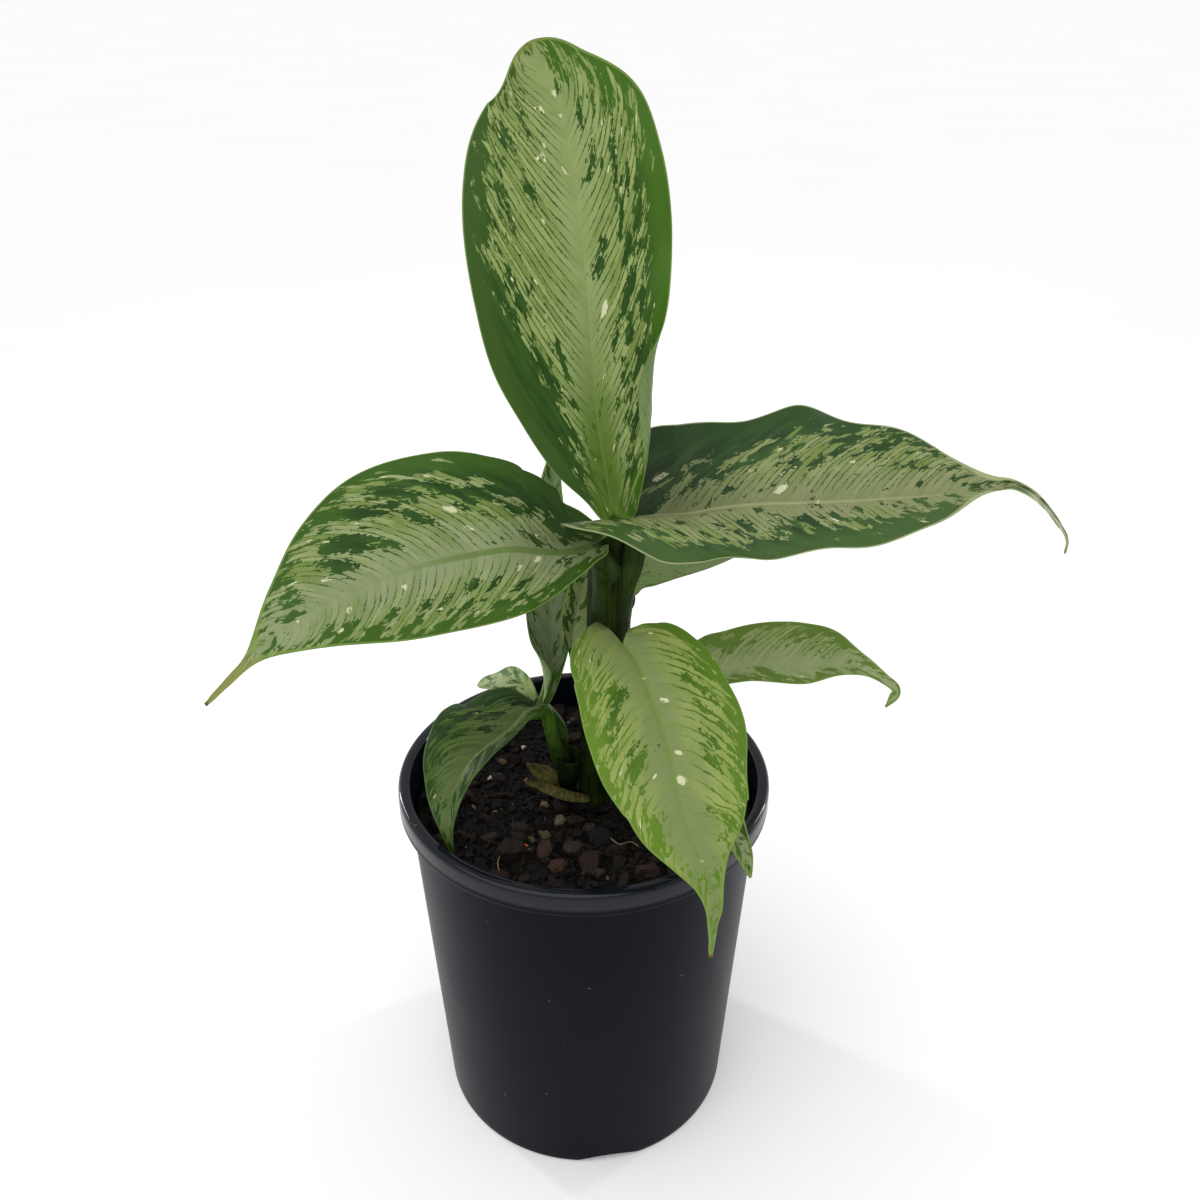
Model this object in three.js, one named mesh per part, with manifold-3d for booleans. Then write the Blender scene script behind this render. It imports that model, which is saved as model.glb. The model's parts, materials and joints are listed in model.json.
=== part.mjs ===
// A potted dieffenbachia: variegated leaves on one main stem and one short side shoot, in a plastic pot.
// Millimetres, +Z up. The origin is the middle of the flat underside of the pot. The front, which the
// plant turns its faces to, is -Y, and +X is to the right of a person who stands in front of it.

import * as THREE from 'three';
import { mergeVertices } from 'three/addons/utils/BufferGeometryUtils.js';
import Module from 'manifold-3d';

const wasm = await Module();
wasm.setup();

// ---------------------------------------------------------------- driving dimensions

const GAP = 0.3; // clearance between two pieces that touch

const POT = {
  lipRadius: 70,
  height: 150,
  footRadius: 57.8,
  neckRadius: 66.2, // the wall just under the lip
  lipHeight: 9.5,
  mouthRadius: 65.5,
  wall: 2,
  base: 2,
  sides: 48,
};

// Arched cut-outs in the corner between the pot's wall and its base let the water out.
const DRAIN = {
  height: 3.5,
  arc: 30, // degrees round the foot
  depth: 9, // from the outside of the foot inwards
  turn: 9.5, // of the first, in degrees from the front towards +X
  count: 4,
};

const SOIL = { level: 136.5, relief: 1.2, rings: 4 };

// Chips stay clear of circles round the stems, the bracts and the tip of the leaf in the pot: x, y, radius.
const CHIPS = {
  count: 52,
  small: 2.4,
  large: 5.2,
  rise: 0.5,
  seed: 7,
  clearOf: [[5.5, 0, 12], [-6, 2, 8], [-14, 0, 12], [-46, -41, 9]],
};

const BLADE = { thickness: 0.8, veinSweep: 1.55, tipHalfWidth: 0.6 };

const STALK = {
  sides: 6,
  steps: 6,
  slimming: 0.8, // the radius at the blade, as a share of the radius at the stem
  keel: [0, 0.08, 0.2, 0.4, 0.65, 0.9], // where the midrib under the blade is measured, from 0 to 1
  keelEnd: 0.5,
  sink: 0.2, // how far the midrib rises into the blade
};

const MAIN_STEM = {
  path: [[5.5, 0, 100], [5.5, 0, 130], [5.8, 0, 150], [6.8, 0, 180], [9, 0, 210], [9.8, 0, 235],
    [10.3, 0, 249]],
  radii: [7.5, 7.5, 7.5, 7.2, 7, 7, 5.5],
  sides: 18,
};

const SHEATH = { from: 0.42, to: 0.84, thickness: 0.8, slant: 5 };

const BUD = { centre: [15.9, -1, 224], width: 2.6, height: 4.6 };

const SIDE_SHOOT = {
  path: [[-6, 2, 118], [-6, 2, 137], [-8, 2, 153], [-9.8, 2.4, 162]],
  radii: [3.2, 3.2, 3.3, 3],
  sides: 12,
};

// The cut stump of a lost leaf stalk clasps the side shoot like a cup.
const COLLAR = {
  foot: [-6.2, 1.2, 143],
  mouth: [-5.4, 0, 156.5],
  footRadius: 3.6,
  mouthRadius: 5.6,
  wall: 0.9,
  depth: 0.65, // of the cup, as a share of its height
  sides: 14,
};

// Each leaf is a midrib, a run of vectors that its upper face looks along, and two halves. A half gives
// its width at even turns of an angle from base to tip, how it lifts from the midrib, how it curls and
// how its margin rolls, all in degrees, and its waves. `stalk` runs from the stem to the blade.
const LEAVES = {
  leaf_top: {
    rib: [[10.5, -1, 256.5], [6.5, 2, 280.5], [3.5, 6, 304.5], [2, 11, 329], [-0.5, 16, 348], [-4, 22, 367],
      [-6, 27, 382], [-10.5, 30, 392.5], [-16.5, 30, 398.5]],
    face: [[0, -1, 0.2], [0, -1, 0.2], [0, -1, 0.3], [-0.1, -0.9, 0.4]],
    left: { width: [3, 6.5, 17, 29.5, 36.5, 35, 24.5, 11, 0], lift: [20, 15, 10, 5], lobe: 0.02 },
    right: {
      width: [3, 9.5, 22.5, 31.5, 30.3, 29.3, 23.3, 9, 0], lift: [15, 15, 15, 10], lobe: 0.02,
      roll: [0, 120, 175, 60, 0, 0, 0, 0], band: 9, wave: [1.8, 2.7, 0.15],
      steps: [0.35, 0.65, 0.75, 0.83, 0.92, 1],
    },
    stalk: [[10.2, 0, 243], [10.5, 0, 250]],
    radius: 3.6,
    rows: 20,
  },
  leaf_left: {
    rib: [[3.5, -12, 250], [-2, -15, 249.5], [-8, -17, 250], [-15.5, -20, 252], [-23.5, -24, 254.5],
      [-37, -30, 255], [-51.5, -38, 255], [-67, -46, 252], [-81, -55, 248.5], [-94.5, -62, 241.5],
      [-106, -67, 231], [-112, -69, 225]],
    face: [[0.1, -0.6, 1], [-0.1, -0.8, 0.8], [-0.3, -0.9, 0.7], [-0.4, -0.8, 0.5]],
    left: { width: [1, 5, 12, 26.5, 25, 15, 4.5, 2, 0], curl: [20, 20, 10, 0], lobe: 0.04 },
    right: {
      width: [1.5, 9, 22, 35.5, 38.5, 21, 4, 1.5, 0], lift: [20, 10, 5, 5], curl: [-20, -20, -20, 0],
      wave: [1.8, 2.3, -0.26], lobe: 0.045,
    },
    stalk: [[8.8, -3, 229], [7.5, -9, 241.5]],
    radius: 3,
    rows: 20,
  },
  leaf_right: {
    rib: [[21, -5, 257.5], [28, -4, 257.5], [35, -2, 257], [48, 0, 258.5], [62.5, 3, 258.5], [77, 6, 257.5],
      [95.5, 9, 257], [114, 12, 257], [128.5, 15, 257], [143.5, 18, 258.5], [152, 19, 258.5],
      [162.5, 19, 252], [172.5, 18, 239.5], [173.5, 18, 232.5]],
    face: [[-0.1, -0.5, 1], [0, -0.4, 1], [0, -0.3, 1], [0.3, -0.3, 1]],
    left: {
      width: [5, 20, 30, 31, 32, 12, 2.5, 1.3, 0], lift: [50, 40, 30, 15], curl: [-20, -20, -20, 0],
      wave: [2.6, 3.5, 0.06],
    },
    right: {
      width: [7, 14.5, 25, 27.5, 25.2, 10, 2.5, 1.5, 0], lift: [48, 0, 0, 0, 5], curl: [-90, -20, -5, 0, 0],
      lobe: 0.17, roll: [30, 75, 40, 0, 0, 0, 0, 0], band: 8, wave: [1.4, 4.8, 0.1],
      steps: [0.25, 0.5, 0.7, 0.85, 1],
    },
    stalk: [[12, -1, 228], [17.5, -4, 239]],
    radius: 4.4,
    rows: 26,
  },
  leaf_front: {
    rib: [[14, -18, 215.5], [18, -26, 214], [21.5, -37, 211], [24.5, -48, 207], [27, -57, 203],
      [29, -66, 198], [31, -73, 191.5], [32.5, -77, 186.5], [36.5, -82, 178], [40.5, -86, 170.5],
      [42.5, -88, 162.5], [42, -88, 153], [41.5, -87, 140.5]],
    face: [[0, -1, 1.2], [0, -1, 1], [0.1, -1, 0.6], [0.1, -1, 0.3]],
    left: {
      width: [7, 15, 23.5, 26.3, 24, 13.7, 3, 1.6, 0], lift: [15, 10, 5, 5], curl: [-30, -20, -10, 0],
      lobe: 0.01,
    },
    right: {
      width: [5.5, 14, 21.5, 24.1, 22.1, 9.7, 3.3, 1.5, 0], lift: [15, 10, 5, 5], curl: [-30, -20, -10, 0],
      lobe: 0.115,
    },
    stalk: [[8, -2, 184], [11.5, -13, 204.5]],
    radius: 2.4,
    rows: 18,
  },
  leaf_right_low: {
    rib: [[39.5, 4, 185.5], [53, 8, 187.5], [61.5, 11, 188.5], [70.5, 13, 188], [85.5, 16, 185.5],
      [100, 18, 184], [109.5, 20, 181], [118, 21, 175.5], [120.5, 20, 171.5], [116.5, 18, 166]],
    face: [[0, -0.6, 1], [0, -0.7, 1], [0, -0.6, 1], [0.6, -0.3, 0.5]],
    left: { width: [4.1, 11.8, 15.6, 15.7, 17.3, 10.9, 2.5, 1.8, 0], lift: [30, 20, 10, 10], lobe: 0.04 },
    right: {
      width: [4.1, 5.8, 4.5, 5.9, 6.7, 3, 3, 1.8, 0], lift: [-10, -10, 0, 0], lobe: 0.04, steps: [0.4, 1],
    },
    stalk: [[7, 0, 171], [24.5, 2, 180]],
    radius: 2.2,
    rows: 15,
  },
  leaf_in_pot: {
    rib: [[-17, -4, 180.5], [-21, -8, 181], [-25.5, -15, 179], [-35, -26, 177.5], [-40.5, -32, 174],
      [-44, -37, 168.5], [-46, -40, 161.5], [-46.5, -41, 153], [-46, -41, 142.5]],
    face: [[-0.2, -0.4, 1], [-0.5, -0.6, 0.8], [-0.6, -0.7, 0.4], [-0.6, -0.8, 0.2]],
    left: {
      width: [2, 1.5, 3, 6.6, 7.2, 4.6, 2, 1.2, 0], lift: [20, 20, 10, 0], lobe: 0.02, steps: [0.5, 1],
    },
    right: {
      width: [2, 11, 24.5, 27.5, 20.6, 11.3, 4.5, 1.5, 0], lift: [10, 10, 10, 10], curl: [-30, -20, -10, 0],
      lobe: 0.02,
    },
    stalk: [[-9, 1.5, 152], [-12, -0.3, 168.5], [-13.8, -1, 177]],
    radius: 2.3,
    rows: 15,
  },
  leaf_back_left: {
    rib: [[-18, 8.5, 176], [-20.5, 12, 178], [-25, 18, 178], [-31, 26, 175], [-36.5, 33, 169],
      [-43, 38, 163.5]],
    face: [[-0.2, -0.4, 1], [-0.2, -0.4, 1]],
    left: { width: [1.5, 4, 8, 8, 5, 2.5, 0], lift: [10, 0, 0, 0], lobe: 0.02, steps: [0.5, 1] },
    right: { width: [1.5, 1.5, 3.7, 4.9, 3, 2.5, 0], lift: [10, 10, 10, 10], lobe: 0.02, steps: [0.5, 1] },
    stalk: [[-9, 3, 152], [-13, 7, 166]],
    radius: 1.5,
    rows: 10,
  },
  leaf_twisted: {
    rib: [[-14.5, 4, 177], [-13, 8, 182], [-12, 14, 192.5], [-12.5, 19, 205], [-12.5, 26, 225.5],
      [-12, 31, 243.5], [-9.5, 36, 265]],
    face: [[0.3, -1, 0], [0.1, -1, 0], [0, -1, 0]],
    left: {
      width: [2.5, 7, 15, 11.8, 9.4, 6.5, 5, 3, 0], lift: [40, 20, 10, 10], curl: [120, 40, 0, 0],
      steps: [0.35, 0.6, 0.8, 1],
    },
    right: { width: [1.5, 2.5, 5, 8.4, 8.9, 6.7, 3.5, 1.5, 0], lift: [40, 20, 10, 10], steps: [0.5, 1] },
    stalk: [[-9, 2.4, 152], [-8.8, 4.6, 165]],
    radius: 1.9,
    rows: 16,
  },
  leaf_behind_stem: {
    rib: [[-4.5, 9, 198], [-3.5, 10, 207], [-1.5, 11, 217], [1, 13, 228], [3, 15, 236]],
    face: [[0.3, -1, 0], [0.2, -1, 0], [0, -1, 0]],
    left: { width: [1, 4, 6, 5, 3, 0], lift: [20, 20, 10, 10], steps: [0.5, 1] },
    right: { width: [1, 4, 6, 5, 3, 0], lift: [20, 20, 10, 10], steps: [0.5, 1] },
    stalk: [[5, 2, 160], [-1.5, 7, 181.5]],
    radius: 1.3,
    rows: 8,
  },
  leaf_over_rim: {
    rib: [[27, -19, 160], [37.5, -34, 169], [45, -46, 171.5], [51, -55, 163.5], [54.5, -59, 157.5],
      [56.5, -61, 150.5]],
    face: [[0, -0.5, 1], [0.3, -0.5, 1], [0.3, -0.7, 0.7]],
    left: { width: [1, 6, 9, 8, 5, 2, 0], lift: [10, 10, 10, 10], steps: [0.5, 1] },
    right: { width: [1, 6, 9, 8, 5, 2, 0], lift: [10, 10, 10, 10], steps: [0.5, 1] },
    stalk: [[6, 0, 144], [17, -9, 151]],
    radius: 1.5,
    rows: 10,
  },
};

const BRACTS = {
  bract_upper: {
    rib: [[-7, 1, 139.5], [-11, 1, 143.5], [-16, 2, 147], [-22, 3, 150]],
    face: [[-0.2, -1, 0.6], [-0.2, -1, 0.9]],
    left: { width: [3, 5, 5.5, 3, 0], lift: [25, 10], curl: [30, 0], steps: [0.5, 1] },
    right: { width: [3, 4.5, 4.5, 2.5, 0], lift: [25, 10], curl: [30, 0], steps: [0.5, 1] },
    rows: 8,
  },
  bract_lower: {
    rib: [[2.5, -6.6, 141], [-6, -6.5, 143], [-14, -5, 145], [-22, -4, 147]],
    face: [[0.1, -1, 0.5], [-0.1, -1, 0.8]],
    left: { width: [3, 4, 3.5, 2.2, 0], lift: [20, 10], curl: [-30, 0], steps: [0.5, 1] },
    right: { width: [1.5, 2, 2, 1.2, 0], lift: [20, 10], curl: [30, 0], steps: [0.5, 1] },
    rows: 8,
  },
};

const COLOURS = {
  pot: ['#15171b', 0.32],
  soil: ['#241a15', 0.95],
  stem: ['#3d5c25', 0.45],
  leaf: ['#6f9148', 0.4],
  bract: ['#8a8a52', 0.8],
};

// ---------------------------------------------------------------- curves and solids

const vector = (p) => new THREE.Vector3(...p);
const path = (points) => new THREE.CatmullRomCurve3(points.map(vector), false, 'catmullrom', 0.5);

// A smooth line through evenly spaced values, read at 0..1.
function smooth(values) {
  const curve = path(values.map((value) => [value, 0, 0]));
  return (at) => curve.getPoint(THREE.MathUtils.clamp(at, 0, 1)).x;
}

// A closed solid through a row of rings, each of an even number of points that runs over the top from
// left to right and back underneath. Walls over and under are split along matching diagonals.
function loft(rings) {
  const size = rings[0].length;
  const last = rings.length - 1;
  const index = [];
  const at = (ring, k) => ring * size + ((k + size) % size);
  for (let i = 0; i < last; i += 1) {
    for (let k = 0; k < size; k += 1) {
      const [a, b, c, d] = [at(i, k), at(i, k + 1), at(i + 1, k + 1), at(i + 1, k)];
      if (k < size / 2) index.push(a, b, c, a, c, d);
      else index.push(a, b, d, b, c, d);
    }
  }
  for (let k = 0; k < size / 2 - 1; k += 1) {
    const [a, b, c, d] = [at(0, k), at(0, -1 - k), at(0, -2 - k), at(0, k + 1)];
    index.push(a, b, d, b, c, d);
    const [e, f, g, h] = [at(last, k), at(last, k + 1), at(last, -2 - k), at(last, -1 - k)];
    index.push(e, f, h, f, g, h);
  }
  const corners = rings.flat().flatMap((point) => point.toArray());
  const geometry = new THREE.BufferGeometry();
  geometry.setAttribute('position', new THREE.Float32BufferAttribute(corners, 3));
  geometry.setIndex(index);
  return geometry;
}

// A round bar along points, with a radius at each.
function bar(points, radii, sides) {
  const up = new THREE.Vector3(0.02, -1, 0.03);
  const rings = points.map((point, i) => {
    const before = points[Math.max(i - 1, 0)];
    const after = points[Math.min(i + 1, points.length - 1)];
    const forward = after.clone().sub(before).normalize();
    up.projectOnPlane(forward).normalize();
    const right = forward.clone().cross(up);
    return Array.from({ length: sides }, (_, k) => {
      const angle = Math.PI - ((k + 0.5) * 2 * Math.PI) / sides;
      return point.clone()
        .addScaledVector(right, radii[i] * Math.cos(angle))
        .addScaledVector(up, radii[i] * Math.sin(angle));
    });
  });
  return loft(rings);
}

function solid(geometry) {
  const bare = geometry.clone();
  bare.deleteAttribute('normal');
  bare.deleteAttribute('uv');
  const merged = mergeVertices(bare, 1e-4);
  const mesh = new wasm.Mesh({
    numProp: 3,
    vertProperties: merged.attributes.position.array,
    triVerts: Uint32Array.from(merged.index.array),
  });
  return new wasm.Manifold(mesh);
}

// The largest body of a solid, so that no loose scrap of a cut stays behind.
function largest(body) {
  const bodies = body.decompose();
  return bodies.reduce((best, next) => (next.volume() > best.volume() ? next : best));
}

function toGeometry(body) {
  const mesh = largest(body).getMesh();
  const geometry = new THREE.BufferGeometry();
  geometry.setAttribute('position', new THREE.BufferAttribute(mesh.vertProperties, 3));
  geometry.setIndex(new THREE.BufferAttribute(mesh.triVerts, 1));
  geometry.computeVertexNormals();
  return geometry;
}

// ---------------------------------------------------------------- leaves

function makeHalf(side, half) {
  return {
    side,
    width: smooth(half.width),
    widest: Math.max(...half.width),
    lift: smooth(half.lift ?? [0, 0]),
    curl: smooth(half.curl ?? [0, 0]),
    roll: smooth(half.roll ?? [0, 0]),
    band: half.band ?? 8,
    wave: half.wave ?? [0, 3, 0],
    lobe: half.lobe ?? 0,
    steps: half.steps ?? [0.25, 0.5, 0.75, 1],
  };
}

function makeLeaf(leaf) {
  const rib = path(leaf.rib);
  return {
    ...leaf,
    rib,
    length: rib.getLength(),
    face: path(leaf.face),
    left: makeHalf(-1, leaf.left),
    right: makeHalf(1, leaf.right),
  };
}

function midrib(leaf, x) {
  const along = THREE.MathUtils.clamp(x, 0, 1);
  const forward = leaf.rib.getTangentAt(along);
  const point = leaf.rib.getPointAt(along).addScaledVector(forward, (x - along) * leaf.length);
  const up = leaf.face.getPoint(along).projectOnPlane(forward).normalize();
  return { point, up, right: forward.clone().cross(up) };
}

// How far out and up a bend of even curvature takes a strip of the given length.
function arc(startAngle, curvature, length) {
  const k = Math.abs(curvature) < 1e-6 ? 1e-6 : curvature;
  const endAngle = startAngle + k * length;
  const out = (Math.sin(endAngle) - Math.sin(startAngle)) / k;
  const up = (Math.cos(startAngle) - Math.cos(endAngle)) / k;
  return [out, up, endAngle];
}

// A point of one half: `start` is where its vein leaves the midrib and t runs from midrib to margin.
function bladePoint(leaf, half, start, t) {
  const reach = 1 - (1 - start) ** BLADE.veinSweep;
  const edge = Math.max(half.width(Math.acos(1 - 2 * reach) / Math.PI), BLADE.tipHalfWidth);
  const x = start + (-half.lobe + (1 + half.lobe) * reach - start) * t ** 1.3;
  const along = THREE.MathUtils.clamp(x, 0, 1);
  const curvature = THREE.MathUtils.degToRad(half.curl(along)) / half.widest;
  const flatWidth = Math.max(edge - half.band, 0);
  const inner = Math.min(edge * t, flatWidth);
  const [outA, upA, angle] = arc(THREE.MathUtils.degToRad(half.lift(along)), curvature, inner);
  const rolled = curvature + THREE.MathUtils.degToRad(half.roll(along)) / half.band;
  const [outB, upB] = arc(angle, rolled, edge * t - inner);
  const [height, count, phase] = half.wave;
  const fade = THREE.MathUtils.clamp((1 - x) / 0.2, 0, 1);
  const swing = Math.sin(2 * Math.PI * (count * x + phase)) * fade;
  const ripple = height * ((edge * t) / half.widest) ** 2 * swing;
  const { point, up, right } = midrib(leaf, x);
  point.addScaledVector(right, half.side * (outA + outB));
  return point.addScaledVector(up, upA + upB + ripple);
}

// Rows of points from the left margin over the midrib to the right margin, from base to tip.
function bladeRows(leaf) {
  return Array.from({ length: leaf.rows + 1 }, (_, i) => {
    const start = i / leaf.rows;
    const left = [...leaf.left.steps].reverse().map((t) => bladePoint(leaf, leaf.left, start, t));
    const right = leaf.right.steps.map((t) => bladePoint(leaf, leaf.right, start, t));
    return [...left, midrib(leaf, start).point, ...right];
  });
}

function surfaceNormal(rows, i, k) {
  const row = rows[i];
  const ahead = rows[Math.min(i + 1, rows.length - 1)][k];
  const behind = rows[Math.max(i - 1, 0)][k];
  const across = row[Math.min(k + 1, row.length - 1)].clone().sub(row[Math.max(k - 1, 0)]);
  return across.cross(ahead.clone().sub(behind)).normalize();
}

function bladeSolid(leaf) {
  const rows = bladeRows(leaf);
  const rings = rows.map((row, i) => {
    const normals = row.map((_, k) => surfaceNormal(rows, i, k));
    const over = row.map((point, k) => point.clone().addScaledVector(normals[k], BLADE.thickness / 2));
    const under = row.map((point, k) => point.clone().addScaledVector(normals[k], -BLADE.thickness / 2));
    return [...over, ...under.reverse()];
  });
  return solid(loft(rings));
}

// The stalk runs on under the blade as its midrib and thins out towards the tip.
function stalkSolid(leaf) {
  const keel = STALK.keel.map((x) => {
    const radius = THREE.MathUtils.lerp(leaf.radius * STALK.slimming, STALK.keelEnd, Math.sqrt(x));
    const { point, up } = midrib(leaf, x);
    return { point: point.addScaledVector(up, STALK.sink - radius), radius };
  });
  const route = path([...leaf.stalk, keel[0].point.toArray()]);
  const stalk = Array.from({ length: STALK.steps }, (_, i) => {
    const along = i / STALK.steps;
    const radius = THREE.MathUtils.lerp(leaf.radius, keel[0].radius, along);
    return { point: route.getPointAt(along), radius };
  });
  const stations = [...stalk, ...keel];
  return solid(bar(stations.map((s) => s.point), stations.map((s) => s.radius), STALK.sides));
}

function leafSolid(leaf) {
  return bladeSolid(leaf).add(stalkSolid(leaf));
}

// ---------------------------------------------------------------- stems

function stemBar(stem, growth = 0, steps = 12) {
  const route = path(stem.path);
  const radius = smooth(stem.radii);
  const stations = Array.from({ length: steps + 1 }, (_, i) => i / steps);
  // The ends move out with the sides, so that a grown stem clears its neighbours all round.
  const points = stations.map((u) => route.getPoint(u));
  points[0].z -= growth;
  points[steps].addScaledVector(route.getTangent(1), growth);
  return solid(bar(points, stations.map((u) => radius(u) + growth), stem.sides));
}

// The sheath of an old stalk wraps the stem. Its upper edge slants down to the back.
function sheathSolid(growth = 0) {
  const route = path(MAIN_STEM.path);
  const radius = smooth(MAIN_STEM.radii);
  const stations = [0, 0.25, 0.5, 0.75, 1].map((u) => THREE.MathUtils.lerp(SHEATH.from, SHEATH.to, u));
  const points = stations.map((u) => route.getPoint(u));
  const radii = stations.map((u, i) => radius(u) + (i > 0 ? SHEATH.thickness : 0) + growth);
  const sleeve = bar(points, radii, MAIN_STEM.sides);
  const top = points[points.length - 1];
  const position = sleeve.attributes.position;
  for (let i = position.count - MAIN_STEM.sides; i < position.count; i += 1) {
    const back = (position.getY(i) - top.y) / radius(1);
    position.setZ(i, position.getZ(i) - SHEATH.slant * back + growth);
  }
  return solid(sleeve);
}

function budSolid(growth = 0) {
  const bud = new THREE.IcosahedronGeometry(1, 1);
  bud.scale(BUD.width + growth, BUD.width + growth, BUD.height + growth);
  bud.translate(...BUD.centre);
  return solid(bud);
}

function mainStemSolid(growth = 0) {
  return stemBar(MAIN_STEM, growth).add(sheathSolid(growth)).add(budSolid(growth));
}

function collarSolid(growth = 0) {
  const foot = vector(COLLAR.foot);
  const mouth = vector(COLLAR.mouth);
  const rise = mouth.clone().sub(foot).setLength(growth);
  const ends = [foot.clone().sub(rise), mouth.clone().add(rise)];
  const cup = solid(bar(ends, [COLLAR.footRadius + growth, COLLAR.mouthRadius + growth], COLLAR.sides));
  if (growth > 0) return cup;
  const floor = mouth.clone().lerp(foot, COLLAR.depth);
  const above = mouth.clone().add(mouth.clone().sub(foot).setLength(1));
  const radii = [COLLAR.footRadius - COLLAR.wall / 2, COLLAR.mouthRadius - COLLAR.wall];
  const hollow = bar([floor, above], radii, COLLAR.sides);
  return cup.subtract(solid(hollow));
}

function sideShootSolid(growth = 0) {
  return collarSolid(growth).add(stemBar(SIDE_SHOOT, growth, 8));
}

// ---------------------------------------------------------------- pot and soil

function innerRadius(z) {
  const { base, height, lipHeight, wall, footRadius, neckRadius } = POT;
  return THREE.MathUtils.mapLinear(z, base, height - lipHeight, footRadius - wall, neckRadius - wall);
}

function turned(profile) {
  const geometry = new THREE.LatheGeometry(profile.map(([r, z]) => new THREE.Vector2(r, z)), POT.sides);
  geometry.rotateX(Math.PI / 2);
  return geometry;
}

function potProfile() {
  const { lipRadius, height, footRadius, neckRadius, lipHeight, mouthRadius, base } = POT;
  const lipBottom = height - lipHeight;
  return [
    [0, 0],
    [footRadius - 1.5, 0],
    [footRadius - 0.4, 0.5],
    [footRadius, 1.6],
    [neckRadius, lipBottom - 0.5],
    [lipRadius - 1.2, lipBottom],
    [lipRadius - 0.2, lipBottom + 1],
    [lipRadius, height - 2.4],
    [lipRadius - 0.8, height - 0.6],
    [lipRadius - 2, height],
    [mouthRadius + 1, height],
    [mouthRadius, height - 1.2],
    [innerRadius(lipBottom) + 0.4, lipBottom],
    [innerRadius(base), base],
    [0, base],
  ];
}

// An arch, pushed inwards through the foot of the wall. It starts below the foot and outside the wall.
function drainCutter(turn) {
  const beyond = 1;
  const halfWidth = POT.footRadius * Math.sin(THREE.MathUtils.degToRad(DRAIN.arc / 2)) + beyond;
  const outline = new THREE.Shape();
  outline.moveTo(-halfWidth, -beyond);
  outline.quadraticCurveTo(0, 2 * DRAIN.height + beyond, halfWidth, -beyond);
  const depth = DRAIN.depth + beyond;
  const cutter = new THREE.ExtrudeGeometry(outline, { depth, bevelEnabled: false, curveSegments: 10 });
  cutter.rotateX(Math.PI / 2);
  cutter.translate(0, DRAIN.depth - POT.footRadius, 0);
  cutter.rotateZ(THREE.MathUtils.degToRad(turn));
  return solid(cutter);
}

function potSolid() {
  let pot = solid(turned(potProfile()));
  for (let i = 0; i < DRAIN.count; i += 1) {
    pot = pot.subtract(drainCutter(DRAIN.turn + (360 / DRAIN.count) * i));
  }
  return pot;
}

// The surface of the mix rises and falls gently, and is level where it meets the wall.
function soilHeight(x, y) {
  const fade = Math.min(1, (innerRadius(SOIL.level) - Math.hypot(x, y)) / 8);
  const mounds = Math.sin(x / 9 + 1) * Math.cos(y / 11) + 0.6 * Math.sin((x + y) / 5);
  return SOIL.level + SOIL.relief * fade * mounds;
}

function soilBed() {
  const bottom = POT.base + GAP;
  const rim = innerRadius(SOIL.level) - GAP;
  const rings = Array.from({ length: SOIL.rings }, (_, i) => [rim * (1 - i / SOIL.rings), SOIL.level]);
  const bed = turned([[0, bottom], [innerRadius(bottom) - GAP, bottom], ...rings, [0, SOIL.level]]);
  const position = bed.attributes.position;
  for (let i = 0; i < position.count; i += 1) {
    if (position.getZ(i) > bottom) position.setZ(i, soilHeight(position.getX(i), position.getY(i)));
  }
  return solid(bed);
}

// A small repeatable random draw.
function makeRandom(seed) {
  let state = seed;
  return (low, high) => {
    state = (state * 1664525 + 1013904223) % 4294967296;
    return low + (high - low) * (state / 4294967296);
  };
}

// Bark chips lie half sunk in the mix, clear of the stems and of the wall.
function chips() {
  const random = makeRandom(CHIPS.seed);
  const bodies = [];
  while (bodies.length < CHIPS.count) {
    const size = random(CHIPS.small, CHIPS.large);
    const turn = random(0, 2 * Math.PI);
    const far = Math.sqrt(random(0, 1)) * (innerRadius(SOIL.level) - size - 2);
    const [x, y] = [far * Math.cos(turn), far * Math.sin(turn)];
    const chip = new THREE.OctahedronGeometry(1);
    chip.scale(size, size * random(0.5, 0.9), size * random(0.3, 0.5));
    chip.rotateX(random(-0.5, 0.5));
    chip.rotateZ(random(0, Math.PI));
    chip.translate(x, y, soilHeight(x, y) + CHIPS.rise);
    const isClear = CHIPS.clearOf.every(([cx, cy, radius]) => Math.hypot(x - cx, y - cy) > radius + size);
    if (isClear) bodies.push(solid(chip));
  }
  return bodies;
}

function soilSolid(stems) {
  const mix = chips().reduce((bed, chip) => bed.add(chip), soilBed());
  return stems.reduce((bed, stem) => bed.subtract(stem), mix);
}

// ---------------------------------------------------------------- the plant in its pot

function named(name, body, look) {
  const [color, roughness] = COLOURS[look];
  const material = new THREE.MeshStandardMaterial({ color, roughness, metalness: 0 });
  const mesh = new THREE.Mesh(toGeometry(body), material);
  mesh.name = name;
  return mesh;
}

function plant() {
  const stems = [mainStemSolid(GAP), sideShootSolid(GAP)];
  const group = new THREE.Group();
  group.add(named('pot', potSolid(), 'pot'));
  group.add(named('soil', soilSolid(stems), 'soil'));
  group.add(named('main_stem', mainStemSolid(), 'stem'));
  group.add(named('side_shoot', sideShootSolid().subtract(stems[0]), 'stem'));
  for (const [name, spec] of Object.entries(LEAVES)) {
    const body = stems.reduce((leaf, stem) => leaf.subtract(stem), leafSolid(makeLeaf(spec)));
    group.add(named(name, body, 'leaf'));
  }
  for (const [name, spec] of Object.entries(BRACTS)) {
    const body = stems.reduce((bract, stem) => bract.subtract(stem), bladeSolid(makeLeaf(spec)));
    group.add(named(name, body, 'bract'));
  }
  return group;
}

export default plant();
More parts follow.
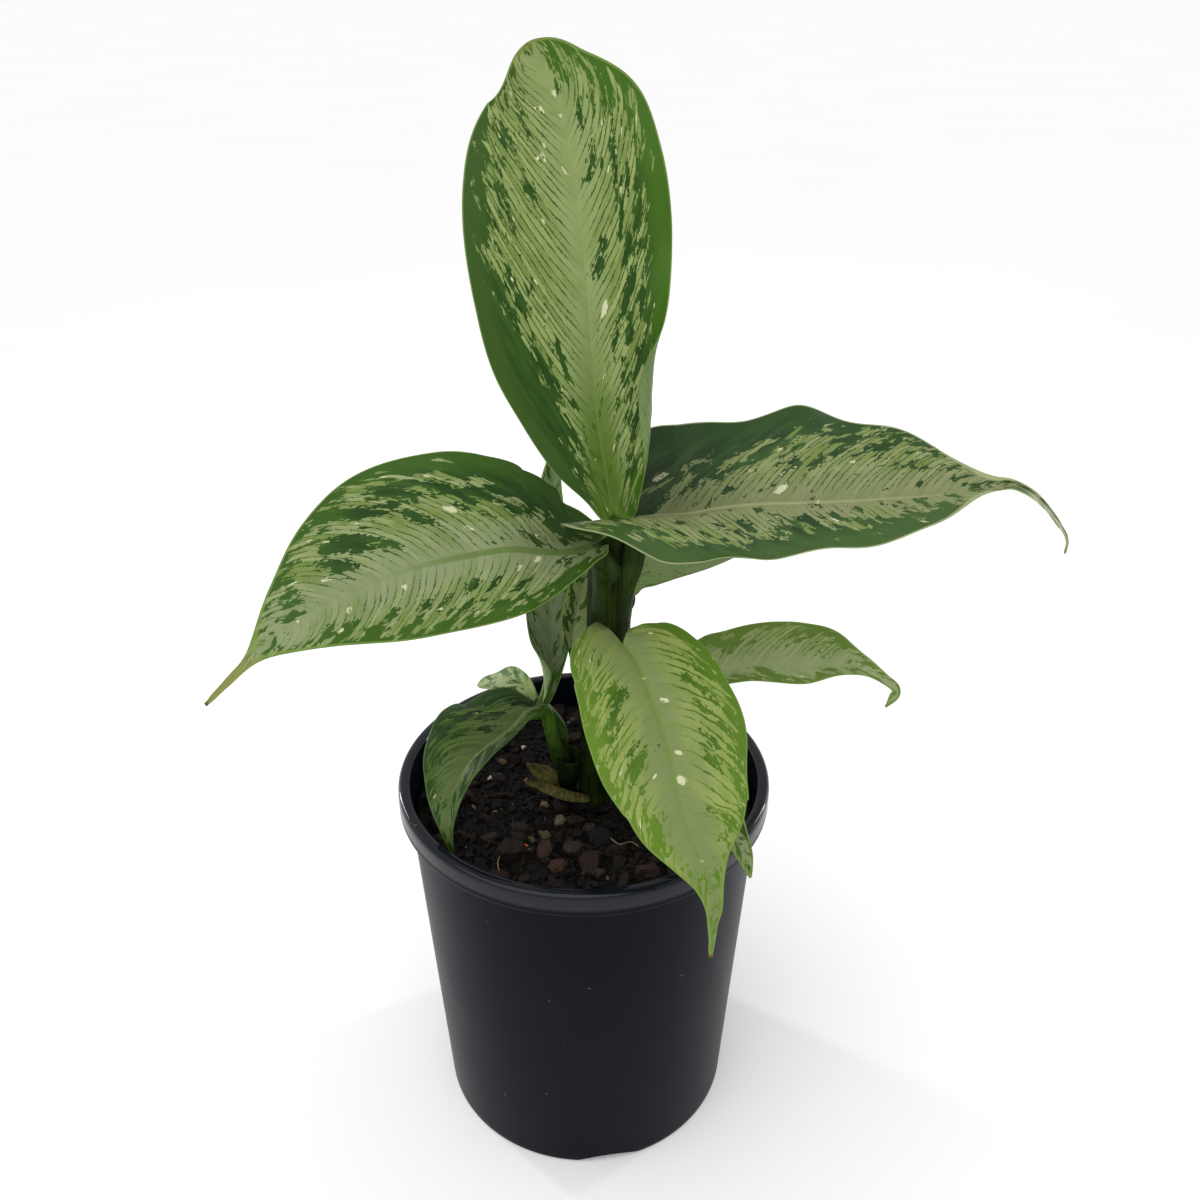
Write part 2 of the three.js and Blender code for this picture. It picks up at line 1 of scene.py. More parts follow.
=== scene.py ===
# %% [markdown]
# # A potted dieffenbachia
#
# A young dieffenbachia stands in a black nursery pot. Its solid model already has every piece at
# its real size: the pot, the soil, two stems, ten leaves and two dry bracts. This lesson gives each
# of them the finish of the real thing. The solids stay as they are, and each finer piece takes the
# place of one.

import json
import math
import random

import bpy
import numpy as np
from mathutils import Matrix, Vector

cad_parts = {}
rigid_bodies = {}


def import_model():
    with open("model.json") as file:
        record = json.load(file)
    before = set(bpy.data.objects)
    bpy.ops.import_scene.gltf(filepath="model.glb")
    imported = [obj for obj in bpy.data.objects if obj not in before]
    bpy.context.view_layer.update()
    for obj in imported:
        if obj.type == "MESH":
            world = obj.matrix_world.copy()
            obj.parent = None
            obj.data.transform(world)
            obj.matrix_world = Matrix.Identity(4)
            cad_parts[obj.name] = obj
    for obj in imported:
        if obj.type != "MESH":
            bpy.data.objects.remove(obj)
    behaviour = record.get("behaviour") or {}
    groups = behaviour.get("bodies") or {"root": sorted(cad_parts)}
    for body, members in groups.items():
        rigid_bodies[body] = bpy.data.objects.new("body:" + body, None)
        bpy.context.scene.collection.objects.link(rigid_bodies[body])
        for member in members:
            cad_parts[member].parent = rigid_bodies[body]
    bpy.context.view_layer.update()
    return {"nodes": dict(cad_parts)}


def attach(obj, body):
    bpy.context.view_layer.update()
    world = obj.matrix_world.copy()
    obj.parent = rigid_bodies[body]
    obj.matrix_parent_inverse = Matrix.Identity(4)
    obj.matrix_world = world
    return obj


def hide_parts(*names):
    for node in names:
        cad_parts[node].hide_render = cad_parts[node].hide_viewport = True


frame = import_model()
MM = 0.001
print("solid nodes:", len(frame["nodes"]))

# %% [markdown]
# ## The camera and the light
#
# The camera stands a little right of the plant's middle, about 42 cm away, and looks down on it by
# nearly 29 degrees, which shows the soil inside the rim. A 36 mm lens on a 36 mm frame gives the
# strong perspective of a close view: the pot's foot looks clearly narrower than its lip.

# %% Camera
CAMERA_PLACE = (6.1, -369.2, 425.1)
CAMERA_PITCH = 28.69
LENS = 36


def make_camera():
    data = bpy.data.cameras.new("camera")
    data.lens = LENS
    data.sensor_width = LENS
    camera = bpy.data.objects.new("camera", data)
    camera.location = Vector(CAMERA_PLACE) * MM
    camera.rotation_euler = (math.radians(90 - CAMERA_PITCH), 0, 0)
    bpy.context.scene.collection.objects.link(camera)
    bpy.context.scene.camera = camera
    return camera


camera = make_camera()
bpy.context.scene.view_settings.view_transform = "Standard"
print("camera at", tuple(round(c, 3) for c in camera.location))

# %% [markdown]
# Black plastic shows little but what it reflects, and leaves are bright where a wide soft light
# falls on them. So the room is a plain pale one with an even surround. A very wide soft lamp above
# and in front models the leaves, and a narrow soft box behind the plant on each side draws the
# bright lines along the rim of the pot.

# %% Room and lamps
SURROUND = 0.62
SOFT_LAMP = {"from": (-0.35, -0.55, 1.0), "strength": 1.45, "width": 75}
SOFT_BOXES = {
    "box_left": {"place": (-0.84, 0.62, 0.44), "size": (0.08, 0.6), "power": 3.4},
    "box_right": {"place": (0.88, 0.5, 0.42), "size": (0.07, 0.6), "power": 2.4},
}
LIGHT_AIM = Vector((0, 0, 0.2))


def make_surround():
    world = bpy.data.worlds.new("surround")
    world.use_nodes = True
    world.node_tree.nodes["Background"].inputs["Color"].default_value = (1, 1, 1, 1)
    world.node_tree.nodes["Background"].inputs["Strength"].default_value = SURROUND
    bpy.context.scene.world = world


def place_lamp(name, data, place, aim):
    lamp = bpy.data.objects.new(name, data)
    lamp.location = place
    lamp.rotation_euler = (aim - Vector(place)).to_track_quat("-Z", "Y").to_euler()
    bpy.context.scene.collection.objects.link(lamp)


def make_soft_lamp():
    data = bpy.data.lights.new("soft_lamp", "SUN")
    data.energy = SOFT_LAMP["strength"]
    data.angle = math.radians(SOFT_LAMP["width"])
    place_lamp("soft_lamp", data, SOFT_LAMP["from"], Vector((0, 0, 0)))


def make_soft_box(name, place, size, power):
    data = bpy.data.lights.new(name, "AREA")
    data.shape = "RECTANGLE"
    data.size, data.size_y = size
    data.energy = power
    place_lamp(name, data, place, LIGHT_AIM)


make_surround()
make_soft_lamp()
for box_name, facts in SOFT_BOXES.items():
    make_soft_box(box_name, **facts)
print("lamps:", 1 + len(SOFT_BOXES))

# %% [markdown]
# ## Writing a finish
#
# A finish is a network of nodes. Two small helpers keep it readable. A `Wire` is one output of a
# node and can be used in sums, so `1 - mask` adds the Math node that works it out. A `Finish` is a
# material, and its one method `node` adds any node: its settings first, then the values or wires of
# its sockets.


# %% Wires that can be added and multiplied
class Wire:
    """One output of a node. Sums and products of wires add the Math nodes that work them out."""

    def __init__(self, finish, socket):
        self.finish = finish
        self.socket = socket

    def _math(self, operation, *values):
        return self.finish.node("ShaderNodeMath", {"operation": operation}, dict(enumerate(values)))

    def __add__(self, other):
        return self._math("ADD", self, other)

    def __sub__(self, other):
        return self._math("SUBTRACT", self, other)

    def __rsub__(self, other):
        return self._math("SUBTRACT", other, self)

    def __mul__(self, other):
        return self._math("MULTIPLY", self, other)

    def __truediv__(self, other):
        return self._math("DIVIDE", self, other)

    def __abs__(self):
        return self._math("ABSOLUTE", self)

    __radd__ = __add__
    __rmul__ = __mul__

    def least(self, other):
        return self._math("MINIMUM", self, other)

    def most(self, other):
        return self._math("MAXIMUM", self, other)

    def wave(self):
        return self._math("SINE", self)

    def rise(self, low, high):
        """0 below low, 1 above high, and a smooth slope between. High may lie below low."""
        settings = {"interpolation_type": "SMOOTHSTEP"}
        return self.finish.node("ShaderNodeMapRange", settings, {0: self, 1: low, 2: high})


# %% A finish and its nodes
def paint(red, green, blue):
    """A colour in the 0 to 255 steps of a screen, as the linear light of a shader."""
    return tuple((step / 255 / 12.92 if step < 10.3 else ((step / 255 + 0.055) / 1.055) ** 2.4)
                 for step in (red, green, blue)) + (1.0,)


class Finish:
    """A material whose nodes are all added by one method."""

    def __init__(self, name):
        self.material = bpy.data.materials.new(name)
        self.material.use_nodes = True
        self.tree = self.material.node_tree
        self.tree.nodes.clear()

    def node(self, kind, settings=None, values=None, out=0):
        made = self.tree.nodes.new(kind)
        for name, value in (settings or {}).items():
            setattr(made, name, value)
        for key, value in (values or {}).items():
            if isinstance(value, Wire):
                self.tree.links.new(value.socket, made.inputs[key])
            else:
                made.inputs[key].default_value = value
        return Wire(self, made.outputs[out]) if made.outputs else None

    def attribute(self, name, out="Fac"):
        return self.node("ShaderNodeAttribute", {"attribute_name": name}, out=out)

    def also(self, wire, out):
        """Another output of the node that a wire comes from."""
        return Wire(self, wire.socket.node.outputs[out])

    def place(self):
        return self.node("ShaderNodeTexCoord", out="Object")

    def parts(self, vector):
        made = self.node("ShaderNodeSeparateXYZ", values={0: vector})
        outputs = made.socket.node.outputs
        return [Wire(self, outputs[axis]) for axis in range(3)]

    def vector(self, x, y, z=0.0):
        return self.node("ShaderNodeCombineXYZ", values={0: x, 1: y, 2: z})

    def mix(self, factor, first, second):
        values = {0: factor, 6: first, 7: second}
        return self.node("ShaderNodeMix", {"data_type": "RGBA"}, values, out=2)

    def noise(self, vector, scale=1.0, detail=2.0, roughness=0.5):
        values = {"Vector": vector, "Scale": scale, "Detail": detail, "Roughness": roughness}
        return self.node("ShaderNodeTexNoise", values=values)

    def noise_at(self, x, y, z=0.0, detail=2.0, roughness=0.5):
        """Noise over a place that is put together from wires and numbers."""
        return self.noise(self.vector(x, y, z), 1.0, detail, roughness)

    def cells(self, vector, out="Color", scale=1.0, flat=True):
        settings = {"voronoi_dimensions": "2D" if flat else "3D"}
        values = {"Vector": vector, "Scale": scale}
        return self.node("ShaderNodeTexVoronoi", settings, values, out=out)

    def stripes(self, place, out, feature="F1"):
        """Cells along a line, one unit long on average."""
        settings = {"voronoi_dimensions": "1D", "feature": feature}
        return self.node("ShaderNodeTexVoronoi", settings, {"W": place, "Scale": 1.0}, out=out)

    def bump(self, height, distance, strength):
        values = {"Height": height, "Distance": distance, "Strength": strength}
        return self.node("ShaderNodeBump", values=values, out="Normal")

    def surface(self, colour, roughness, bump=None, **more):
        """The finished surface. `bump` is a height, its reach in metres and its strength."""
        values = {"Base Color": colour, "Roughness": roughness, **more}
        if bump:
            values["Normal"] = self.bump(*bump)
        shader = self.node("ShaderNodeBsdfPrincipled", values=values, out="BSDF")
        self.node("ShaderNodeOutputMaterial", values={"Surface": shader})
        return self.material


print("a soft green:", tuple(round(c, 3) for c in paint(111, 145, 72)))


# %% [markdown]
# ## The shape of a leaf
#
# A dieffenbachia leaf is a thin blade on a long midrib. Veins leave the midrib and sweep towards
# the tip, and the margin is where they end. So a point of the blade has two numbers: `start`, where
# its vein leaves the midrib, and `t`, how far it lies from the midrib (0) to the margin (1). The
# blade could be sculpted, but this rule gives every leaf the same growth, and the two numbers later
# carry the pattern as well.

# %% Curves through evenly spaced values
LEAF_SWEEP = 1.55
TIP_HALF_WIDTH = 0.6
LOBE_POWER = 1.3
LOBE_ROUNDING = 0.06
USUAL_WAVE = (0, 3, 0)
WAVE_FADE = 0.2
MARGIN_BAND = 8
STRAIGHT = 1e-6
RIB_STEP = 1e-3


def smooth(values, at):
    """A smooth line through evenly spaced values or points, read at 0 to 1."""
    knots = np.asarray(values, float)
    spans = len(knots) - 1
    knots = np.concatenate([[2 * knots[0] - knots[1]], knots, [2 * knots[-1] - knots[-2]]])
    place = np.clip(np.asarray(at, float), 0, 1) * spans
    first = np.minimum(place.astype(int), spans - 1)
    u = (place - first).reshape(place.shape + (1,) * (knots.ndim - 1))
    a, b, c, d = (knots[first + k] for k in range(4))
    bend = (2 * a - 5 * b + 4 * c - d) * u ** 2 + (3 * b - a - 3 * c + d) * u ** 3
    return 0.5 * (2 * b + (c - a) * u + bend)


def unit(vectors):
    return vectors / np.linalg.norm(vectors, axis=-1, keepdims=True)


def never_straight(bend):
    """The bend, or a hair of it where there is none, so that a path can be divided by it."""
    return np.where(np.abs(bend) < STRAIGHT, STRAIGHT, bend)


def even_path(points, count=400):
    """How far along a smooth path each step lies, and the path's length."""
    steps = np.linspace(0, 1, count + 1)
    gaps = np.linalg.norm(np.diff(smooth(points, steps), axis=0), axis=1)
    reached = np.concatenate([[0], np.cumsum(gaps)])
    return steps, reached / reached[-1], reached[-1]


# %% The blade's rule
class Leaf:
    """A midrib, the way the upper face looks along it, and two halves of a blade, in millimetres."""

    def __init__(self, name, rib, face, left, right):
        self.name = name
        self.rib = rib
        self.face = face
        self.halves = {-1: left, 1: right}
        self.steps, self.reached, self.length = even_path(rib)

    def midrib(self, x):
        along = np.clip(x, 0, 1)
        step = np.interp(along, self.reached, self.steps)
        ahead, behind = np.minimum(step + RIB_STEP, 1), np.maximum(step - RIB_STEP, 0)
        forward = unit(smooth(self.rib, ahead) - smooth(self.rib, behind))
        point = smooth(self.rib, step) + forward * ((x - along) * self.length)[..., None]
        face = smooth(self.face, along)
        up = unit(face - np.sum(face * forward, axis=-1, keepdims=True) * forward)
        return point, up, np.cross(forward, up)

    def half(self, side, start, t):
        """Points of one half, how far along the leaf they lie, and the half's width there."""
        facts = self.halves[side]
        start, t = np.broadcast_arrays(start, t)
        reach = 1 - (1 - start) ** LEAF_SWEEP
        edge = np.maximum(smooth(facts["width"], np.arccos(1 - 2 * reach) / np.pi), TIP_HALF_WIDTH)
        lobe = facts.get("lobe", 0)
        power = LOBE_POWER - facts.get("round", 0) * np.exp(-start / LOBE_ROUNDING)
        x = start + (-lobe + (1 + lobe) * reach - start) * t ** power
        out, rise = self._bend(facts, np.clip(x, 0, 1), edge, t)
        height, count, phase = facts.get("wave", USUAL_WAVE)
        fade = np.clip((1 - x) / WAVE_FADE, 0, 1)
        swing = np.sin(2 * np.pi * (count * x + phase)) * fade
        rise = rise + height * (edge * t / max(facts["width"])) ** 2 * swing
        point, up, right = self.midrib(x)
        return point + right * (side * out)[..., None] + up * rise[..., None], x, edge

    @staticmethod
    def _bend(facts, along, edge, t):
        """How far out and up the curl of the half and the roll of its margin take a point."""
        lift, curl, roll = (np.radians(smooth(facts.get(key, (0, 0)), along))
                            for key in ("lift", "curl", "roll"))
        band = facts.get("band", MARGIN_BAND)
        curl = never_straight(curl / max(facts["width"]))
        rolled = never_straight(curl + roll / band)
        inner = np.minimum(edge * t, np.maximum(edge - band, 0))
        turned = lift + curl * inner
        last = turned + rolled * (edge * t - inner)
        out = (np.sin(turned) - np.sin(lift)) / curl + (np.sin(last) - np.sin(turned)) / rolled
        rise = (np.cos(lift) - np.cos(turned)) / curl + (np.cos(turned) - np.cos(last)) / rolled
        return out, rise


print("a leaf keeps", LEAF_SWEEP, "as the sweep of its veins")

# %% [markdown]
# ## Skins
#
# The blade is a sheet about 0.6 mm thick. It is made as a closed skin: one grid of points over it,
# one under it, and a strip round the edge. A stalk is a tube with closed ends. Both are plain lists
# of corners and faces, so one small function can put several of them into one mesh.

# %% Grids, tubes and meshes
SHEET = 0.6
NEARLY_FRONT = (0.02, -1, 0.03)
GROOVE_SPREAD = 0.12


def grid_quads(index):
    """The four corners of each square of a grid of corner numbers."""
    corners = [index[:-1, :-1], index[:-1, 1:], index[1:, 1:], index[1:, :-1]]
    return np.stack(corners, -1).reshape(-1, 4)


def closed_skin(over, under):
    """Corners and faces of a closed sheet between two grids of points."""
    rows, columns = over.shape[:2]
    index = np.arange(rows * columns).reshape(rows, columns)
    top = grid_quads(index)
    below = top[:, ::-1] + rows * columns
    ring = np.concatenate([index[0, :-1], index[:-1, -1], index[-1, :0:-1], index[:0:-1, 0]])
    after = np.roll(ring, -1)
    edge = np.stack([after, ring, ring + rows * columns, after + rows * columns], -1)
    points = np.concatenate([over.reshape(-1, 3), under.reshape(-1, 3)])
    return points, top.tolist() + below.tolist() + edge.tolist(), len(top)


def frames(points, up=NEARLY_FRONT):
    """Directions to the right of a path and up from it, turned as little as possible on the way."""
    forwards = unit(np.gradient(np.asarray(points, float), axis=0))
    up = np.array(up, float)
    ups = []
    for forward in forwards:
        up = up - (up @ forward) * forward
        up = up / np.linalg.norm(up)
        ups.append(up)
    return np.cross(forwards, ups), np.array(ups)


def tube(points, radii, sides=16, up=NEARLY_FRONT, groove=0.0):
    """Corners and faces of a bar along points. A groove is cut along the side that looks up.

    The rings run clockwise seen along the path, which makes the faces look outwards.
    """
    points, radii = np.asarray(points, float), np.asarray(radii, float)
    right, above = frames(points, up)
    angle = -2 * np.pi * np.arange(sides) / sides
    near_top = np.cos(angle - np.pi / 2)
    shape = 1 - np.outer(np.broadcast_to(groove, radii.shape), np.exp((near_top - 1) / GROOVE_SPREAD))
    reach = (radii[:, None] * shape)[..., None]
    cosine, sine = np.cos(angle)[None, :, None], np.sin(angle)[None, :, None]
    swing = cosine * right[:, None] + sine * above[:, None]
    return rings_skin(points[:, None] + reach * swing)


def rings_skin(rings):
    """Corners and faces of a skin through rings of points, closed by a fan at each end."""
    count, sides = rings.shape[:2]
    index = np.arange(count * sides).reshape(count, sides)
    turned = np.roll(index, -1, axis=1)
    quads = np.stack([index[:-1], turned[:-1], turned[1:], index[1:]], -1).reshape(-1, 4).tolist()
    corners = rings.reshape(-1, 3)
    first, last = len(corners), len(corners) + 1
    corners = np.concatenate([corners, [rings[0].mean(0)], [rings[-1].mean(0)]])
    quads += [[first, b, a] for a, b in zip(index[0], turned[0])]
    quads += [[last, a, b] for a, b in zip(index[-1], turned[-1])]
    return corners, [[int(i) for i in face] for face in quads]


def make_mesh(name, points, faces, slots=None, smooth_faces=True):
    """A mesh object from corners in millimetres."""
    mesh = bpy.data.meshes.new(name)
    mesh.from_pydata((np.asarray(points) * MM).tolist(), [], faces)
    mesh.polygons.foreach_set("use_smooth", [smooth_faces] * len(mesh.polygons))
    if slots is not None:
        mesh.polygons.foreach_set("material_index", slots)
    mesh.update()
    thing = bpy.data.objects.new(name, mesh)
    bpy.context.scene.collection.objects.link(thing)
    return thing


def joined(parts):
    """One list of corners and faces from several."""
    points, faces, base = [], [], 0
    for part_points, part_faces in parts:
        points.append(part_points)
        faces += [[i + base for i in face] for face in part_faces]
        base += len(part_points)
    return np.concatenate(points), faces


def give_points(thing, **values):
    """Stores a number or a vector for every corner, for the finish to read."""
    for name, array in values.items():
        array = np.asarray(array, np.float32)
        kind, field = ("FLOAT", "value") if array.ndim == 1 else ("FLOAT_VECTOR", "vector")
        attribute = thing.data.attributes.new(name, kind, "POINT")
        attribute.data.foreach_set(field, array.ravel())


print("blade thickness:", SHEET, "mm")

# %% [markdown]
# ## Ten leaves
#
# Each leaf has its midrib as a run of points, the way its face looks along it, and the two halves
# with their widths from base to tip. `lift` is how steeply a half leaves the midrib, `curl` how it
# bends on, `roll` how its margin turns over, and `wave` the waves of the margin. The stalk runs
# from the stem to the blade. All of it starts from the sizes of the solid model, with finer
# margins, so every leaf stays where its solid is.

# %% The leaves' sizes
LEAVES = {
    "leaf_top": {
        "rib": [(10.5, -1, 256.5), (6.5, 2, 280.5), (3.5, 6, 304.5), (1.5, 11, 329), (-0.5, 16.5, 348),
                (-3, 22, 366), (-6.5, 26.5, 380.5), (-11, 29.5, 391), (-16.5, 30, 398.5)],
        "face": [(0, -1, 0.2), (0, -1, 0.2), (0, -1, 0.3), (-0.1, -0.9, 0.4)],
        "left": {"width": [1.6, 4.8, 9, 17.6, 25.2, 32.6, 35.7, 36.4, 34, 28.8, 21, 9.6, 0.3],
                 "lift": [20, 15, 10, 5], "lobe": 0.02},
        "right": {"width": [2.6, 8.6, 13.8, 20.8, 25.4, 27.4, 28.4, 29.6, 28.6, 25.3, 13.7, 6.1, 0],
                  "lift": [36, 20, 15, 10], "lobe": 0.02, "roll": [0, 90, 175, 60, 0, 0, 0, 0],
                  "band": 9, "wave": (2.2, 3.41, 0.86)},
        "stalk": [(10.2, 0, 243), (10.5, 0, 250)], "radius": 3.6,
    },
    "leaf_left": {
        "rib": [(3.5, -12, 250), (-2, -15, 249.5), (-8, -17, 250), (-15.5, -20, 252),
                (-23.5, -24, 254.5), (-37, -30, 255), (-51.5, -38, 255), (-67, -46, 252),
                (-81, -55, 248.5), (-94.5, -62, 241.5), (-106, -67, 231), (-112, -69, 225)],
        "face": [(0.1, -0.6, 1), (-0.1, -0.8, 0.8), (-0.3, -0.9, 0.7), (-0.4, -0.8, 0.5)],
        "left": {"width": [1.5, 4.9, 7.4, 16.3, 24.4, 25.9, 24, 18.2, 10, 3.2, 1.5, 0.9, 0],
                 "curl": [20, 20, 10, 0], "lobe": 0.04},
        "right": {"width": [1.5, 8, 17.5, 26, 34, 37.2, 38.9, 27.9, 14.1, 2.3, 1, 0.8, 0],
                  "lift": [20, 10, 5, 5], "curl": [-20, -20, -20, 0], "wave": (2.6, 3.26, -0.77),
                  "lobe": 0.045},
        "stalk": [(8.8, -1.6, 221), (8.6, -3.6, 233), (7.2, -9, 243)], "radius": 3, "clasp": 6.7,
    },
    "leaf_right": {
        "rib": [(19, -5.3, 257.3), (27.5, -4, 257.5), (35, -2, 257), (48, 0, 258.5), (62.5, 3, 258.5),
                (77, 6, 257.5), (95.5, 9, 257), (114, 12, 257), (128.5, 15, 257), (143.5, 18, 258.5),
                (152, 19, 258.5), (162.5, 19, 252), (172.5, 18, 239.5), (173.5, 18, 232.5)],
        "face": [(-0.1, -0.5, 1), (0, -0.4, 1), (0, -0.3, 1), (0.3, -0.3, 1)],
        "left": {"width": [10, 26.2, 30.2, 29.3, 29.8, 34.1, 29.3, 21.9, 4.3, 1.5, 1, 0.8, 0],
                 "lift": [50, 40, 30, 15], "curl": [-20, -20, -20, 0], "wave": (1.6, 4.5, -0.3),
                 "lobe": 0.025, "round": 0.9},
        "right": {"width": [7, 11.5, 17, 25, 27.4, 22.8, 20.4, 15.6, 3.5, 3.5, 2.2, 1, 0],
                  "lift": [48, 0, 0, 0, 5], "curl": [-72, -20, -5, 0, 0], "lobe": 0.158,
                  "roll": [30, 75, 40, 0, 0, 0, 0, 0], "wave": (2.8, 4.5, 0.65)},
        "stalk": [(11.2, -0.6, 218), (13.2, -1.8, 229), (17.8, -4, 242)], "radius": 4.4, "clasp": 6.2,
        "wing": [((13, -2.5, 224), (13, -3, 240)), ((18.6, -4, 227.4), (18, -4, 252)),
                 ((21, -5, 230.5), (23, -4.5, 256)), ((25, -5, 231.6), (28, -4, 256)),
                 ((32, -5, 234.2), (35, -2, 256)), ((43, -4, 237.6), (48, 0, 257)),
                 ((52, -3, 241.5), (60, 2, 257)), ((60, -1, 246), (70, 4, 257)),
                 ((70, 2, 251), (78, 6, 257))],
    },
    "leaf_front": {
        "rib": [(14, -18, 215.5), (18, -26, 214), (21.5, -37, 211), (24.5, -48, 207), (27, -57, 203),
                (29, -66, 198), (31, -73, 191.5), (32.5, -77, 186.5), (36.5, -82, 178),
                (40.5, -86, 170.5), (42.5, -88, 162.5), (42, -88, 153), (41.5, -87, 140.5)],
        "face": [(0, -1, 1.2), (0, -1, 1), (0.1, -1, 0.6), (0.1, -1, 0.3)],
        "left": {"width": [5, 11, 17.5, 23.5, 25.6, 26.3, 22.6, 18.5, 4.8, 1.3, 0.9, 0.6, 0],
                 "lift": [15, 10, 5, 5], "curl": [-30, -20, -10, 0], "lobe": 0.035, "round": 0.6},
        "right": {"width": [2.5, 10, 17.5, 21.7, 23.3, 24.2, 22.6, 14.9, 6.7, 3.5, 1.5, 0.9, 0],
                  "lift": [15, 10, 5, 5], "curl": [-30, -20, -10, 0], "lobe": 0.125, "round": 0.95},
        "stalk": [(8, -2, 184), (11.5, -13, 204.5)], "radius": 2.4,
    },
    "leaf_right_low": {
        "rib": [(39.5, 4, 185.5), (53, 8, 187.5), (61.5, 11, 188.5), (70.5, 13, 188),
                (85.5, 16, 185.5), (100, 18, 184), (109.5, 20, 181), (118, 21, 175.5),
                (120.5, 20, 171.5), (116.5, 18, 166)],
        "face": [(0, -0.6, 1), (0, -0.7, 1), (0, -0.6, 1), (0.6, -0.3, 0.5)],
        "left": {"width": [7.6, 11.1, 13.6, 15.8, 15.4, 16.5, 17, 14.9, 6, 2, 2, 1, 0],
                 "lift": [30, 20, 10, 10], "lobe": 0.04},
        "right": {"width": [5.5, 5.1, 4.4, 3.6, 5.1, 6.5, 6.8, 3.6, 2.7, 3, 2.6, 1, 0],
                  "lift": [-10, -10, 0, 0], "lobe": 0.04},
        "stalk": [(7, 0, 171), (24.5, 2, 180)], "radius": 2.2,
    },
    "leaf_in_pot": {
        "rib": [(-17, -4, 180.5), (-21, -8, 181), (-25.5, -15, 179), (-35, -26, 177.5),
                (-40.5, -32, 174), (-44, -37, 168.5), (-46, -40, 161.5), (-46.5, -41, 153),
                (-46, -41, 142.5)],
        "face": [(-0.2, -0.4, 1), (-0.5, -0.6, 0.8), (-0.6, -0.7, 0.4), (-0.6, -0.8, 0.2)],
        "left": {"width": [2, 1.5, 3, 6.6, 7.2, 4.6, 2, 1.2, 0], "lift": [20, 20, 10, 0], "lobe": 0.02},
        "right": {"width": [2, 11, 24.5, 27.5, 20.6, 11.3, 4.5, 1.5, 0], "lift": [10, 10, 10, 10],
                  "curl": [-30, -20, -10, 0], "lobe": 0.02},
        "stalk": [(-9, 1.5, 152), (-12, -0.3, 168.5), (-13.8, -1, 177)], "radius": 3.1,
    },
    "leaf_back_left": {
        "rib": [(-18, 8.5, 176), (-20.5, 12, 178), (-25, 18, 178), (-31, 26, 175), (-36.5, 33, 169),
                (-43, 38, 163.5)],
        "face": [(-0.2, -0.4, 1), (-0.2, -0.4, 1)],
        "left": {"width": [1.5, 4, 8, 8, 5, 2.5, 0], "lift": [10, 0, 0, 0], "lobe": 0.02},
        "right": {"width": [1.5, 1.5, 3.7, 4.9, 3, 2.5, 0], "lift": [10, 10, 10, 10], "lobe": 0.02},
        "stalk": [(-9, 3, 152), (-13, 7, 166)], "radius": 1.5,
    },
    "leaf_twisted": {
        "rib": [(-14.5, 4, 177), (-13, 8, 182), (-12, 14, 192.5), (-12.5, 19, 205), (-12.5, 26, 225.5),
                (-12, 31, 243.5), (-9.5, 36, 265)],
        "face": [(0.3, -1, 0), (0.1, -1, 0), (0, -1, 0)],
        "left": {"width": [2.5, 7, 15, 11.8, 9.4, 6.5, 5, 3, 0], "lift": [40, 20, 10, 10],
                 "curl": [120, 40, 0, 0]},
        "right": {"width": [1.5, 2.5, 5, 8.4, 8.9, 6.7, 3.5, 1.5, 0], "lift": [40, 20, 10, 10]},
        "stalk": [(-9, 2.4, 152), (-8.8, 4.6, 165)], "radius": 2.7,
    },
    "leaf_behind_stem": {
        "rib": [(-4.5, 9, 198), (-3.5, 10, 207), (-1.5, 11, 217), (1, 13, 228), (3, 15, 236)],
        "face": [(0.3, -1, 0), (0.2, -1, 0), (0, -1, 0)],
        "left": {"width": [1, 4, 6, 5, 3, 0], "lift": [20, 20, 10, 10]},
        "right": {"width": [1, 4, 6, 5, 3, 0], "lift": [20, 20, 10, 10]},
        "stalk": [(5, 2, 160), (-1.5, 7, 181.5)], "radius": 1.3,
    },
    "leaf_over_rim": {
        "rib": [(27, -19, 160), (37.5, -34, 169), (45, -46, 171.5), (51, -55, 163.5),
                (54.5, -59, 157.5), (56.5, -61, 150.5)],
        "face": [(0, -0.5, 1), (0.3, -0.5, 1), (0.3, -0.7, 0.7)],
        "left": {"width": [1, 6, 9, 8, 5, 2, 0], "lift": [10, 10, 10, 10]},
        "right": {"width": [1, 6, 9, 8, 5, 2, 0], "lift": [10, 10, 10, 10]},
        "stalk": [(6, 0, 144), (17, -9, 151)], "radius": 1.5,
    },
}
print("leaves:", len(LEAVES))

# %% [markdown]
# ## The veins and the pattern of a leaf
#
# The side veins leave the midrib at about 45 degrees and then bow towards the tip. Everything in
# the pattern follows them, so each corner of the mesh gets two numbers in millimetres: where its
# vein starts on the midrib, and how far out along the vein it lies.
#
# The middle of a leaf is pale because its cells hold little green, and towards the margin the green
# comes back, first in dashes along the veins and then solid. The large plan of it is worked out at
# each corner, in millimetres inside (above 0) or outside (below 0) the pale zone: `left` and
# `right` say how far the pale zone reaches on each half from base to tip, and single patches are
# listed one by one at a place given as millimetres along the leaf and out from the midrib, some
# with a size of their own across and along the veins. The finish later breaks up the edge.

# %% Veins
VEIN_SLOPE = 1.0
VEIN_BOW = 1.25
VEINS = {
    ("leaf_top", -1): (1.1, 1.7), ("leaf_top", 1): (1.15, 1.7),
    ("leaf_left", -1): (0.25, 1.7), ("leaf_left", 1): (0.55, 1.2),
    ("leaf_right", -1): (0.7, 1.3), ("leaf_right", 1): (0.35, 1.3),
    ("leaf_front", -1): (0.25, 1.5), ("leaf_front", 1): (0.25, 1.5),
    ("leaf_right_low", -1): (0.6, 1.2), ("leaf_in_pot", 1): (0.5, 1.4),
}


